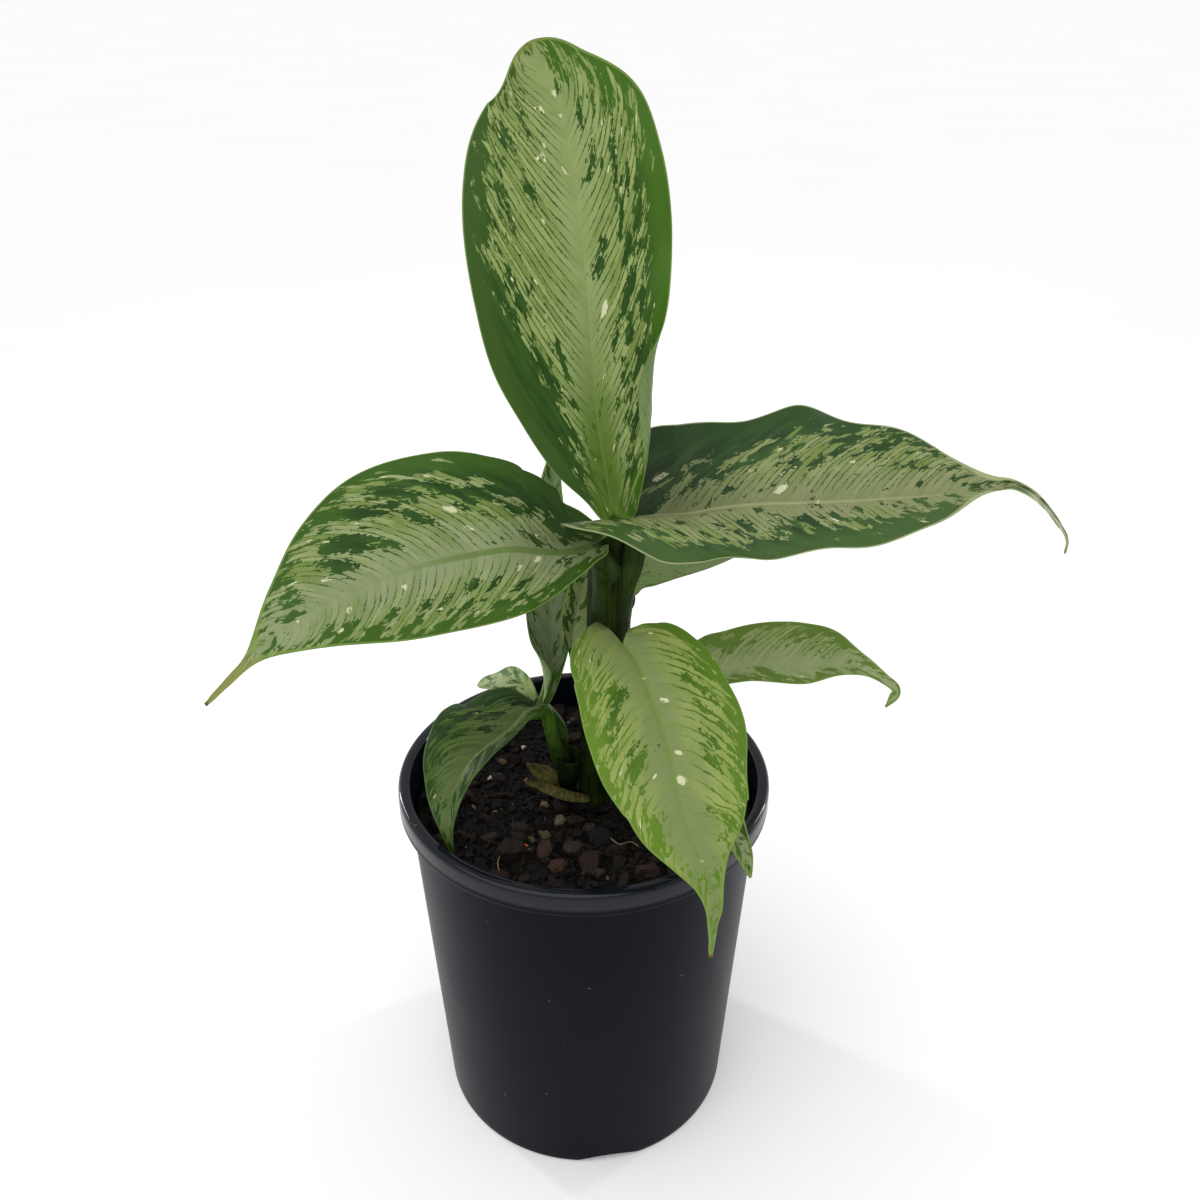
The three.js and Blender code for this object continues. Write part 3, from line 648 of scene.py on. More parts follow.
def half_width(facts, x):
    """Half the leaf's width on one side, at a share of the way from base to tip."""
    lobe = facts.get("lobe", 0)
    reach = np.clip((x + lobe) / (1 + lobe), 0, 1)
    return np.maximum(smooth(facts["width"], np.arccos(1 - 2 * reach) / np.pi), TIP_HALF_WIDTH)


def vein_place(leaf, side, x, out):
    """Where the vein through a point starts on the midrib, how far along it the point lies, in mm."""
    facts = leaf.halves[side]
    widest = max(facts["width"])
    slope, bow = VEINS.get((leaf.name, side), (VEIN_SLOPE, VEIN_BOW))
    away = np.abs(out) * np.sqrt(widest / half_width(facts, x))
    sweep = slope * away + 0.5 * bow * away ** 2 / widest
    return x * leaf.length - sweep, side * np.hypot(sweep, away)


# %% Where each leaf is pale
GREEN_PATCH = (1.5, 3.0)
CREAM_PATCH = (0.6, 1.5)
PATCH_STRETCH = 1.6
FAR_OUTSIDE = -40.0
GREEN_FALL = 1.5
PATTERNS = {
    "leaf_top": {
        "left": [0.4, 0.38, 0.42, 0.62, 0.76, 0.78, 0.82, 0.8],
        "right": [0.5, 0.74, 0.7, 0.68, 0.68, 0.74, 0.8, 0.62], "firm": (0.62, 0.42),
        "green": [(117, -16), (125, -18, 2.2, 4.5), (123, -11), (123, -7, 0.9, 1.8), (132, -11),
                  (142, 4, 0.9, 1.8), (139, 4, 0.9, 1.8), (135, 2, 0.9, 1.8), (130, 15, 2.2, 4.5),
                  (126, 6), (122, 16), (112, 14), (128, 11), (113, 7), (115, -23), (104, -22),
                  (97, -21), (105, -14), (72, 14, 2.5, 8), (93, 19, 2, 5), (81, 5, 1.5, 5),
                  (59, 9, 1.5, 5), (59, 14), (45, -14, 3, 6), (128, 17, 2, 5), (134, 12, 2, 4),
                  (37, -20, 2.5, 6), (23, -12), (48, 11, 1, 3), (107, 14), (86, 19), (78, 20),
                  (32, 10)],
        "cream": [(133, 0), (131, -7), (130, -5), (121, 12), (119, -7), (115, -10), (115, -8),
                  (110, -2), (102, 15), (96, -11), (68, 6, 1.2, 2.6), (24, 5), (67, 22), (79, -23),
                  (68, -14), (18, -10), (29, -7), (97, -20)],
    },
    "leaf_left": {
        "left": [0.4, 0.72, 0.8, 0.84, 0.8, 0.74, 0.6],
        "right": [0.2, 0.5, 0.78, 0.84, 0.86, 0.78, 0.6], "firm": (0.75, 0.36),
        "green": [(36, 21, 2.2, 7), (55, 16, 2.2, 5), (59, 27, 3, 8), (77, 15, 3.4, 8), (68, 11),
                  (41, 16), (6, 9, 4, 7), (46, 24, 3, 7), (70, 24, 2.5, 8), (84, 11, 1.5, 6),
                  (27, 15, 2, 5), (50, -18), (74, -12, 1, 3), (30, -14, 1.2, 3), (63, -13),
                  (45, -11), (95, -8), (100, 8)],
        "cream": [(45, 16, 1.2, 2.6), (87, 7), (96, 11), (86, -5), (59, -16), (92, -10), (28, -7),
                  (20, -3), (67, -5), (41, 9)],
    },
    "leaf_right": {
        "left": [0.3, 0.52, 0.7, 0.84, 0.88, 0.84, 0.66],
        "right": [0.62, 0.56, 0.5, 0.5, 0.6, 0.64, 0.45], "firm": (0.36, 0.44),
        "green": [(64, -14), (52, -21), (25, -13, 2.2, 4.5), (3, -5, 4, 7)],
        "cream": [(8, -13, 1.2, 2.6), (50, -5, 1.2, 2.6), (55, -12), (77, -14), (40, -12), (67, 8),
                  (51, -19)],
    },
    "leaf_front": {
        "left": [0.8, 0.86, 0.86, 0.9, 0.9, 0.84, 0.7],
        "right": [0.8, 0.84, 0.84, 0.88, 0.9, 0.84, 0.7], "firm": (0.8, 0.7),
        "green": [(21, 12), (25, 11), (31, 14, 2.2, 4.5), (21, 18), (38, 17), (44, 17), (45, 11),
                  (50, 11, 1.6, 6), (71, 10, 2.2, 4.5), (67, 12), (14, -20), (23, -19), (24, -14),
                  (28, -17), (36, -15), (34, -19), (44, -19), (46, -14), (53, -13), (75, -13, 1.6, 6)],
        "cream": [(57, -2, 0.8, 2), (29, -4), (48, -3), (1, 13)],
    },
    "leaf_right_low": {"left": [0.6, 0.78, 0.8, 0.8, 0.7, 0.5], "right": [0.6, 0.7, 0.8, 0.7, 0.5]},
    "leaf_in_pot": {
        "left": [0.4, 0.6, 0.6, 0.4], "right": [0.3, 0.7, 0.8, 0.86, 0.76, 0.5],
        "green": [(14, 10, 2, 4), (22, 17, 2, 5), (33, 21, 2, 5), (30, 12, 1.2, 3), (45, 19, 1.5, 4),
                  (55, 14, 1.5, 4), (41, 13, 1, 3), (60, 8, 1, 3), (20, 6, 1, 3), (50, 8, 1, 3)],
    },
    "leaf_back_left": {"left": [0.7, 0.7, 0.3], "right": [0.7, 0.7, 0.3],
                       "green": [(12, 0, 2, 2.4)]},
    "leaf_twisted": {"left": [0.7, 0.8, 0.7], "right": [0.7, 0.8, 0.7]},
    "leaf_behind_stem": {"left": [0.9, 0.8, 0.6], "right": [0.8, 0.7, 0.5]},
    "leaf_over_rim": {"left": [0.6, 0.6, 0.4], "right": [0.6, 0.6, 0.4]},
}


def patch_plan(leaf, places, side, start, far, usual):
    """Millimetres inside the nearest patch; below 0 outside. A patch is longest along its vein."""
    inside = np.full(start.shape, FAR_OUTSIDE)
    for along, out, *size in places:
        across, length = size or usual
        if side * out < 0:
            continue
        here, distance = vein_place(leaf, side, np.array(along / leaf.length), np.array(float(out)))
        stretched = np.hypot((start - here) / (PATCH_STRETCH * across), (far - distance) / length)
        inside = np.maximum(inside, (1 - stretched) * across)
    return inside


def pale_plan(pattern, side, x, share, width):
    """Millimetres inside the pale zone. A low `firm` lets the break-up reach far into it."""
    inside = (smooth(pattern["left" if side < 0 else "right"], x) - share) * width
    firm = pattern.get("firm", (0.8, 0.8))[0 if side < 0 else 1]
    return np.where(inside > 0, inside * firm, inside * GREEN_FALL)


print("patterned leaves:", len(PATTERNS))

# %% [markdown]
# ## Blades with veins
#
# Between its side veins a blade stands up a little, like a quilt, and the midrib lies in a shallow
# trough. Both are only tenths of a millimetre, but they break up the gloss, so they go into the
# mesh and not only into the finish. The columns of the grid are closest at the midrib and at the
# margin.

# %% A leaf as one mesh
QUILT = {"pitch": 8.0, "height": 0.14, "power": 0.7}
TROUGH = {"depth": 0.25, "width": 1.3, "margin": 3}
MARGIN_THINNING = {"share": 0.6, "power": 12}
BLADE_ROWS_PER_MM = 1.15
BLADE_COLUMNS = {"per_mm": 0.9, "fewest": 10, "most": 30}
COLUMN_CROWDING = 0.55
STALK_SINK = -0.15
STALK_SLIMMING = 0.8
KEEL_END = 0.35
KEEL_REACH = 0.95
KEEL_CROWDING = 1.3
GROOVE_DEPTHS = (0.3, 0.1)
CLASP_POWER = 0.8
STALK_SHADE_FADE = 22.0
STALK_RINGS = 21
STALK_SIDES = 14
KEEL_FADE = 6


def column_steps(count):
    """Steps from midrib to margin, closest at both ends."""
    even = np.linspace(0, 1, count + 1)
    return (1 - COLUMN_CROWDING) * even + COLUMN_CROWDING * (1 - np.cos(np.pi * even)) / 2


def leaf_grid(leaf, pattern, rows, columns):
    """Points of the whole blade from left margin to right margin, with what the finish reads."""
    start = np.linspace(0, 1, rows + 1)[:, None]
    sides = []
    for side, t in ((-1, column_steps(columns)[::-1][:-1]), (1, column_steps(columns))):
        place, along, edge = leaf.half(side, start, t[None, :])
        t = np.broadcast_to(t[None, :], along.shape)
        out = side * t * edge
        width = half_width(leaf.halves[side], along)
        share = np.minimum(np.abs(out) / width, 1)
        vein, far = vein_place(leaf, side, along, out)
        green = patch_plan(leaf, pattern.get("green", []), side, vein, far, GREEN_PATCH)
        cream = patch_plan(leaf, pattern.get("cream", []), side, vein, far, CREAM_PATCH)
        pale = pale_plan(pattern, side, along, share, width)
        sides.append({"place": place, "along": along, "rim": edge * (1 - t), "vein": vein, "far": far,
                      "out": out, "t": t, "pale": pale, "green": green, "cream": cream})
    return {key: np.concatenate([half[key] for half in sides], axis=1) for key in sides[0]}


def grid_normals(grid):
    return unit(np.cross(np.gradient(grid, axis=1), np.gradient(grid, axis=0)))


def keel_points(leaf, radius, count=26):
    """The midrib under the blade, thick at the base and thin at the tip."""
    x = np.linspace(0, KEEL_REACH, count) ** KEEL_CROWDING
    first = radius * STALK_SLIMMING
    radii = first + (KEEL_END - first) * np.sqrt(x)
    point, up, _ = leaf.midrib(x)
    return point + up * (STALK_SINK - radii)[:, None], radii


def stalk_skin(leaf, stalk, radius, clasp=None):
    """The stalk and the midrib's keel as one tube. A stalk that clasps its stem starts out wider."""
    keel, keel_radii = keel_points(leaf, radius)
    u = np.arange(STALK_RINGS) / STALK_RINGS
    route = smooth(list(stalk) + [keel[0]], u)
    radii = radius + (keel_radii[0] - radius) * u
    if clasp:
        radii = radii + (clasp - radius) * (1 - u) ** CLASP_POWER
    radii = np.concatenate([radii, keel_radii])
    groove = np.concatenate([np.linspace(*GROOVE_DEPTHS, STALK_RINGS), np.zeros(len(keel))])
    toward = leaf.midrib(np.array([0.0]))[1][0]
    return tube(np.concatenate([route, keel]), radii, STALK_SIDES, toward, groove)


def wing_skin(spans, rows=60, columns=14, bulge=2.2):
    """The thin wing between a stalk's lower edge and the midrib, bowed a little to the front."""
    low = smooth([span[0] for span in spans], np.linspace(0, 1, rows + 1))
    high = smooth([span[1] for span in spans], np.linspace(0, 1, rows + 1))
    t = np.linspace(0, 1, columns + 1)[None, :, None]
    grid = low[:, None] * (1 - t) + high[:, None] * t
    grid[..., 1] -= bulge * np.sin(np.pi * t[..., 0])
    normal = grid_normals(grid)
    points, faces, _ = closed_skin(grid + normal * SHEET / 2, grid - normal * SHEET / 2)
    return points, faces


def make_leaf(name, facts):
    """A leaf as one mesh: slot 0 is its face and margin, 1 its underside and wing, 2 its stalk."""
    leaf = Leaf(name, facts["rib"], facts["face"], facts["left"], facts["right"])
    widest = max(facts["left"]["width"] + facts["right"]["width"])
    fewest, most = BLADE_COLUMNS["fewest"], BLADE_COLUMNS["most"]
    columns = int(np.clip(widest * BLADE_COLUMNS["per_mm"], fewest, most))
    grid = leaf_grid(leaf, PATTERNS[name], int(leaf.length * BLADE_ROWS_PER_MM), columns)
    place, t = grid["place"], grid["t"]
    normal = grid_normals(place)
    crests = np.cos(2 * np.pi * grid["vein"] / QUILT["pitch"])
    quilt = QUILT["height"] * crests * np.sin(np.pi * t) ** QUILT["power"]
    valley = np.exp(-(grid["out"] / TROUGH["width"]) ** 2)
    trough = TROUGH["depth"] * valley * np.clip(grid["rim"] / TROUGH["margin"], 0, 1)
    middle = place + normal * (quilt - trough)[..., None]
    half_sheet = 0.5 * SHEET * (1 - MARGIN_THINNING["share"] * t ** MARGIN_THINNING["power"])
    offset = normal * half_sheet[..., None]
    points, faces, count = closed_skin(middle + offset, middle - offset)
    slots = [0] * count + [1] * count + [0] * (len(faces) - 2 * count)
    stalk = stalk_skin(leaf, facts["stalk"], facts["radius"], facts.get("clasp"))
    parts = [(points, faces), stalk]
    slots += [2] * len(stalk[1])
    if "wing" in facts:
        parts.append(wing_skin(facts["wing"]))
        slots += [1] * len(parts[-1][1])
    piece = make_mesh(name + "_blade", *joined(parts), slots)

    added = np.concatenate([part[0] for part in parts[1:]])
    number = np.arange(len(added))
    on_wing = (number >= len(stalk[0])).astype(float)
    # How far up its stalk a point lies; the painted shade at the stalk's foot fades out over it.
    climb = np.clip((added[:, 2] - facts["stalk"][0][2]) / STALK_SHADE_FADE, 0, 1)
    keel = np.clip((number // STALK_SIDES - STALK_RINGS) / KEEL_FADE, 0, 1) * (1 - on_wing)

    def both(key, rest=np.zeros(len(added))):
        """A value of the grid for the upper and the lower corners, and one for all that was added."""
        flat = grid[key].reshape(-1)
        return np.concatenate([flat, flat, rest])

    across, height = added[:, 0] * on_wing, added[:, 2] * on_wing
    on_keel = np.concatenate([np.zeros(len(points)), keel])
    give_points(piece,
                veins=np.stack([both("vein", height * 1.5), both("far", across), both("out")], -1),
                patches=np.stack([both("pale", -2.0 * on_wing), both("green"), both("cream")], -1),
                edges=np.stack([both("rim"), both("along", climb), on_keel], -1))
    return piece


leaf_pieces = {name: make_leaf(name, facts) for name, facts in LEAVES.items()}
for name, piece in leaf_pieces.items():
    print(name, len(piece.data.polygons), "faces")

# %% [markdown]
# ## The finish of a leaf
#
# The upper face is made in layers. A plan, stored on the mesh, says where the leaf is pale. Its
# edge is broken up by cells that are much longer along a vein than across it, because the green
# stops at the small veins. Thin dark lines run along some veins. Then come cream specks, the pale
# line of the margin and the midrib. The blade is waxy: not quite glossy, with a fine grain along
# the veins.

# %% Upper face
DEFAULT_LOOK = {
    "sage": (144, 158, 100), "sage_deep": (112, 132, 66), "inner": (146, 158, 114),
    "base": (104, 128, 52), "green": (54, 86, 30), "green_deep": (38, 68, 20),
    "left_rim": (60, 88, 34), "right_rim": (72, 104, 36), "edge": (120, 146, 70),
    "cream": (214, 216, 176), "tip": (150, 160, 90), "tip_end": (122, 132, 66),
    "midrib": (136, 152, 98), "midrib_width": 0.8, "midrib_share": 0.35, "rib_end": (0.95, 0.35),
    "pitch": 2.7, "lines_from": 0.12, "line_share": 0.9, "line_width": 0.1, "ragged": 1.0,
    "stripe": 24.0, "block": 7.0, "streak": 1.0, "wash": (5, 12), "shade": (0.0, 0.0),
    "base_reach": 0.0, "tip_reach": 1.05, "seed": 0.0, "gloss": 0.42, "sheen": 1.2,
}
LOOKS = {
    "leaf_top": {
        "seed": 3.0, "pitch": 3.4, "base_reach": 0.48, "midrib_share": 0.45, "midrib_width": 0.55,
        "midrib": (108, 132, 66), "lines_from": 0.0, "base": (84, 112, 34), "inner": (140, 156, 100),
        "sage": (146, 162, 98), "right_rim": (66, 104, 28)},
    "leaf_left": {
        "seed": 11.0, "line_width": 0.06, "lines_from": 0.0, "inner": (138, 150, 110),
        "sage": (148, 160, 108), "sage_deep": (108, 130, 60), "midrib": (96, 122, 58),
        "midrib_width": 1.3, "rib_end": (0.6, 0.25), "midrib_share": 0.8, "tip": (138, 140, 76),
        "tip_reach": 0.9, "tip_end": (100, 70, 36), "green": (56, 86, 32), "green_deep": (36, 66, 24),
        "left_rim": (62, 96, 28), "right_rim": (60, 94, 30), "shade": (0.3, 0.6)},
    "leaf_right": {
        "seed": 23.0, "sheen": 1.3, "lines_from": 0.02, "line_width": 0.08, "inner": (134, 139, 100),
        "sage": (144, 154, 102), "green": (60, 90, 44), "green_deep": (36, 62, 30),
        "left_rim": (44, 74, 30), "right_rim": (66, 94, 44), "shade": (0.5, 0.0),
        "midrib": (168, 170, 126), "midrib_width": 0.7, "midrib_share": 0.6, "edge": (168, 178, 128)},
    "leaf_front": {
        "seed": 37.0, "green": (80, 112, 30), "green_deep": (62, 94, 28), "left_rim": (88, 122, 38),
        "right_rim": (96, 128, 38), "inner": (114, 130, 84), "sage": (146, 160, 88),
        "sage_deep": (122, 142, 68), "midrib": (108, 136, 58), "midrib_width": 1.1,
        "midrib_share": 0.6, "tip": (140, 100, 50), "tip_end": (110, 60, 30), "lines_from": 0.6,
        "line_share": 1.0, "stripe": 4.0, "block": 14.0, "ragged": 0.6, "streak": 0.15,
        "wash": (5, 6), "pitch": 4.2},
    "leaf_right_low": {
        "seed": 41.0, "green": (96, 124, 52), "green_deep": (82, 110, 44),
        "left_rim": (96, 122, 50), "right_rim": (96, 122, 50)},
    "leaf_in_pot": {
        "seed": 53.0, "sage": (86, 108, 46), "sage_deep": (58, 84, 28), "inner": (86, 100, 60),
        "green": (36, 60, 22), "green_deep": (24, 42, 16), "left_rim": (36, 62, 20),
        "right_rim": (38, 66, 20), "edge": (74, 100, 48)},
    "leaf_back_left": {"seed": 61.0, "sage": (146, 168, 100), "sage_deep": (120, 148, 68)},
    "leaf_twisted": {
        "seed": 67.0, "sage": (132, 144, 108), "sage_deep": (100, 118, 78), "inner": (128, 142, 106)},
    "leaf_behind_stem": {
        "seed": 71.0, "sage": (150, 172, 92), "sage_deep": (120, 150, 62), "streak": 0.3,
        "stripe": 8.0},
    "leaf_over_rim": {"seed": 79.0, "green": (100, 138, 48)},
}
SHADE = (22, 34, 14)
KEEL_PAINT = (124, 148, 84)
VEIN_SWAY = 3.0
VEIN_TREMBLE = 1.1
STRIPE_SPREAD = 83.0


def vein_wires(finish, seed):
    """Where a point's vein starts, how far along the vein it lies and how far from the midrib."""
    start, far, out = finish.parts(finish.attribute("veins", "Vector"))
    sway = finish.noise_at(start * 0.1 + seed, far * 0.08) - 0.5
    tremble = finish.noise_at(start * 1.1, far * 1.2 + seed) - 0.5
    return start + sway * VEIN_SWAY + tremble * VEIN_TREMBLE, far, out


def dashes(finish, line, far, pitch, length, seed):
    """Noise in stripes between veins: each stripe has its own, and it changes slowly along it."""
    own = finish.parts(finish.stripes(line / pitch + seed, "Color"))[0]
    return finish.noise_at(own * STRIPE_SPREAD, far / length, seed, 1), own


def blocks(finish, line, far, pitch, length, seed):
    """A value between -0.5 and 0.5 for each small block between veins."""
    return finish.parts(finish.cells(finish.vector(line / pitch + seed, far / length)))[0] - 0.5


def vein_lines(finish, line, far, out, look):
    """How dark a point is as part of a line along a vein: hairlines that widen further out."""
    gap = finish.stripes(line / look["pitch"] + look["seed"], "Distance", "DISTANCE_TO_EDGE")
    breaks = finish.noise_at(line * 0.7 + look["seed"], far * 0.2, detail=4, roughness=0.7)
    first = look["lines_from"] * 8
    outer = abs(out).rise(first, first + 7)
    width = breaks.rise(0.34, 0.6) * (0.045 + outer * look["line_width"])
    return (gap - width).rise(0.02, -0.02) * (0.3 + outer * 0.7) * abs(out).rise(0.3, 2.0)


def ribs(line, look):
    """A wave with one crest for each small vein."""
    return (line * (2 * math.pi / look["pitch"])).wave()


def upper_finish(name, look):
    def hue(key):
        return paint(*look[key])

    finish = Finish(name)
    seed, wild = look["seed"], look["ragged"]
    line, far, out = vein_wires(finish, seed)
    pale, green_patch, cream_patch = finish.parts(finish.attribute("patches", "Vector"))
    rim, along, _ = finish.parts(finish.attribute("edges", "Vector"))

    # The edge of the pale zone, broken up in stripes, blocks and specks between the veins.
    blotch = finish.noise_at(line / 9 + seed, far / 11, detail=1) - 0.5
    wide, stripe = dashes(finish, line, far, look["pitch"], 7.0, seed)
    large = blocks(finish, line, far, 2.4, 4.5, seed)
    small = blocks(finish, line, far, 0.8, 1.1, seed)
    ragged = (wide - 0.5) * (look["stripe"] * wild) + large * (look["block"] * wild)
    ragged = ragged + small * 3.5 + blotch * (18 * wild)
    kept = small * 4.5 + large * 4.0 + (wide - 0.5) * (7 * look["streak"]) - green_patch * 2.6
    is_pale = (pale + ragged).least(kept).rise(-0.12, 0.12)
    dark_line = vein_lines(finish, line, far, out, look)

    # The pale zone, hazy beside the midrib, and the green one, lighter in the rim.
    wash_across, wash_along = look["wash"]
    wash = finish.noise_at(line / wash_across + seed, far / wash_along, detail=3)
    grain = finish.noise_at(line * 2.2, far * 0.3)
    streaks = ((grain - 0.5) * 0.3 + (stripe - 0.5) * 0.2) * look["streak"]
    bright = (wash * 0.5 + 0.25 + streaks).rise(0.36, 0.6)
    sage = finish.mix(bright, hue("sage_deep"), hue("sage"))
    haze = (abs(out) + blotch * 18).rise(15.0, 2.0) * (0.35 + wash * 0.75)
    sage = finish.mix(haze, sage, hue("inner"))
    depth = finish.noise_at(line / 6, far / 20, seed)
    green = finish.mix((depth * 0.7 + grain * 0.3).rise(0.4, 0.62),
                       hue("green_deep"), hue("green"))
    # Each half's margin has its own green, and the difference in lightness between the two is painted
    # light and shade.
    margin_green = finish.mix(out.rise(-0.5, 0.5), hue("left_rim"), hue("right_rim"))
    green = finish.mix(rim.rise(11.0, 3.0) * 0.9, green, margin_green)
    ridge = finish.noise_at(line / 1.6, far / 60, seed + 9, 1).rise(0.62, 0.72)
    green = finish.mix(ridge * rim.rise(14.0, 6.0) * 0.12, green, hue("sage_deep"))
    colour = finish.mix(is_pale * (1 - dark_line * look["line_share"]), green, sage)
    if look["base_reach"]:
        base = along.rise(look["base_reach"], 0.3 * look["base_reach"]) * abs(out).rise(9.0, 3.0)
        colour = finish.mix(base * 0.85, colour, hue("base"))

    # Cream specks, the midrib, the shaded base, the margin line and the tip.
    flecks = finish.cells(finish.vector(line / 3.2 + seed, far / 7))
    chosen = finish.parts(flecks)[1].rise(0.965, 0.972)
    chosen = chosen * finish.also(flecks, "Distance").rise(0.17, 0.12)
    cream = (cream_patch + small * 0.6).rise(0.0, 0.15)
    colour = finish.mix(cream.most(chosen * is_pale) * 0.85, colour, hue("cream"))

    rib_width = look["midrib_width"] * (1.0 - along * 0.75)
    rib = (abs(out) - rib_width).rise(0.25, -0.25) * along.rise(*look["rib_end"])
    colour = finish.mix(rib * look["midrib_share"], colour, hue("midrib"))
    shade_left, shade_right = look["shade"]
    if shade_left or shade_right:
        deep = shade_left + out.rise(-4.0, 4.0) * (shade_right - shade_left)
        colour = finish.mix(deep * along.rise(0.3, 0.03), colour, paint(*SHADE))
    colour = finish.mix(rim.rise(0.5, 0.25) * 0.75, colour, hue("edge"))
    tip_from = look["tip_reach"]
    colour = finish.mix(along.rise(tip_from - 0.08, tip_from) * 0.85, colour, hue("tip"))
    colour = finish.mix(along.rise(0.985, 0.998), colour, hue("tip_end"))

    height = grain * 0.5 + ribs(line, look) * 0.3
    roughness = look["gloss"] + (grain - 0.5) * 0.16
    return finish.surface(colour, roughness, (height, 0.00012, 0.5), IOR=look["sheen"])


# %% Underside and stalks
def under_finish(name, look):
    finish = Finish(name)
    line, far, _ = vein_wires(finish, look["seed"])
    pale = finish.parts(finish.attribute("patches", "Vector"))[0]
    streak = finish.noise_at(line * 1.6, far * 0.12, detail=3)
    broad = finish.noise_at(line * 0.3, far * 0.1, look["seed"])
    colour = finish.mix(pale.rise(-4, 3), paint(98, 120, 64), paint(144, 160, 104))
    colour = finish.mix(streak.rise(0.35, 0.65) * 0.5, colour, paint(112, 142, 76))
    colour = finish.mix(broad.rise(0.5, 0.75) * 0.3, colour, paint(80, 106, 50))
    freckles = blocks(finish, line, far, 0.9, 1.3, look["seed"]).rise(0.4, 0.44)
    colour = finish.mix(freckles * broad.rise(0.4, 0.6) * 0.7, colour, paint(56, 80, 32))
    height = streak + ribs(line, look) * 0.4
    return finish.surface(colour, 0.52 + (streak - 0.5) * 0.2, (height, 0.0002, 0.6))


def stalk_finish(name, light, deep, foot=0.0, sheen=1.4):
    """Fibres along the height; `foot` is how strongly painted shade darkens a stalk's foot."""
    finish = Finish(name)
    place = finish.place()
    x, y, z = finish.parts(place)
    fibres = finish.noise_at(x * 900, y * 900, z * 60, 3)
    blotches = finish.noise(place, 90, 3)
    lightness = fibres.rise(0.35, 0.68) * 0.6 + blotches.rise(0.45, 0.6) * 0.4
    colour = finish.mix(lightness, paint(*deep), paint(*light))
    if foot:
        _, climb, keel = finish.parts(finish.attribute("edges", "Vector"))
        # Painted shade on the foot of a stalk, fading out further up the stalk.
        colour = finish.mix(climb.rise(1.0, 0.1) * foot, colour, paint(*SHADE))
        colour = finish.mix(keel * (0.6 + fibres * 0.4), colour, paint(*KEEL_PAINT))
    return finish.surface(colour, 0.4 + (blotches - 0.5) * 0.2, (fibres, 0.00025, 0.6), IOR=sheen)


leaf_stalk = stalk_finish("leaf_stalk", (78, 110, 36), (44, 74, 20), 0.6, 1.2)
clasping_stalk = stalk_finish("clasping_stalk", (52, 74, 24), (30, 46, 13), 0.5, 1.15)
for name, piece in leaf_pieces.items():
    look = {**DEFAULT_LOOK, **LOOKS[name]}
    piece.data.materials.append(upper_finish(name + "_upper", look))
    piece.data.materials.append(under_finish(name + "_under", look))
    piece.data.materials.append(clasping_stalk if "clasp" in LEAVES[name] else leaf_stalk)
    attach(piece, "root")
    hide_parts(name)
print("leaf finishes:", len(leaf_pieces))

# %% [markdown]
# ## The pot
#
# A nursery pot is moulded in one shot: a thin tapered wall, a rolled lip that stiffens it, and
# arched cut-outs in the corner of the foot that let the water out. It is turned from one outline,
# as on a lathe, with every corner of the outline rounded, and the cut-outs are taken away with a
# Boolean modifier.

# %% Outline of the pot
POT = {"lip_radius": 70, "height": 150, "foot_radius": 57.8, "neck_radius": 66.2, "lip_height": 9.5,
       "mouth_radius": 65.5, "wall": 2, "base": 2}
POT_TURNS = 192
POT_MIDDLE = 0.6
WALL_HEIGHTS = (4.5, 7, 40, 75, 110, 136)
SHARP_ANGLE = 40
DRAIN = {"height": 3.5, "arc": 30, "depth": 9, "turn": 9.5, "count": 4, "steps": 16}


def inner_radius(z):
    share = (z - POT["base"]) / (POT["height"] - POT["lip_height"] - POT["base"])
    foot, neck = POT["foot_radius"] - POT["wall"], POT["neck_radius"] - POT["wall"]
    return foot + (neck - foot) * share


def rounded(outline, steps=6, most=0.45):
    """An outline of (radius, height, corner) with each corner drawn as a small curve of that size.

    No curve takes up more than the share `most` of the line beside it.
    """
    points = []
    for i, (r, z, corner) in enumerate(outline):
        here = np.array((r, z), float)
        if corner == 0:
            points.append(here)
            continue
        before = np.array(outline[i - 1][:2]) - here
        after = np.array(outline[i + 1][:2]) - here
        start = here + before * min(corner / np.linalg.norm(before), most)
        end = here + after * min(corner / np.linalg.norm(after), most)
        for u in np.linspace(0, 1, steps):
            points.append((1 - u) ** 2 * start + 2 * u * (1 - u) * here + u ** 2 * end)
    return np.array(points)


def pot_outline():
    lip_bottom = POT["height"] - POT["lip_height"]
    lip, mouth = POT["lip_radius"], POT["mouth_radius"]
    wall = [(POT["foot_radius"] + (POT["neck_radius"] - POT["foot_radius"]) * z / lip_bottom, z, 0)
            for z in WALL_HEIGHTS]
    return rounded([
        (POT_MIDDLE, 0, 0), (POT["foot_radius"], 0, 1.8), *wall,
        (POT["neck_radius"], lip_bottom, 0.9), (lip, lip_bottom, 1.6), (lip, POT["height"], 2.4),
        (mouth, POT["height"], 1.4), (inner_radius(lip_bottom) + 0.4, lip_bottom, 2.0),
        (inner_radius(POT["base"]), POT["base"], 1.2), (POT_MIDDLE, POT["base"], 0)])


def turned(outline, turns):
    """A skin turned round the upright axis from an outline of (radius, height)."""
    angle = 2 * np.pi * np.arange(turns) / turns
    ring = np.stack([np.cos(angle), np.sin(angle)], -1)
    heights = np.repeat(outline[:, None, 1:], turns, 1)
    return rings_skin(np.concatenate([outline[:, None, :1] * ring, heights], -1))


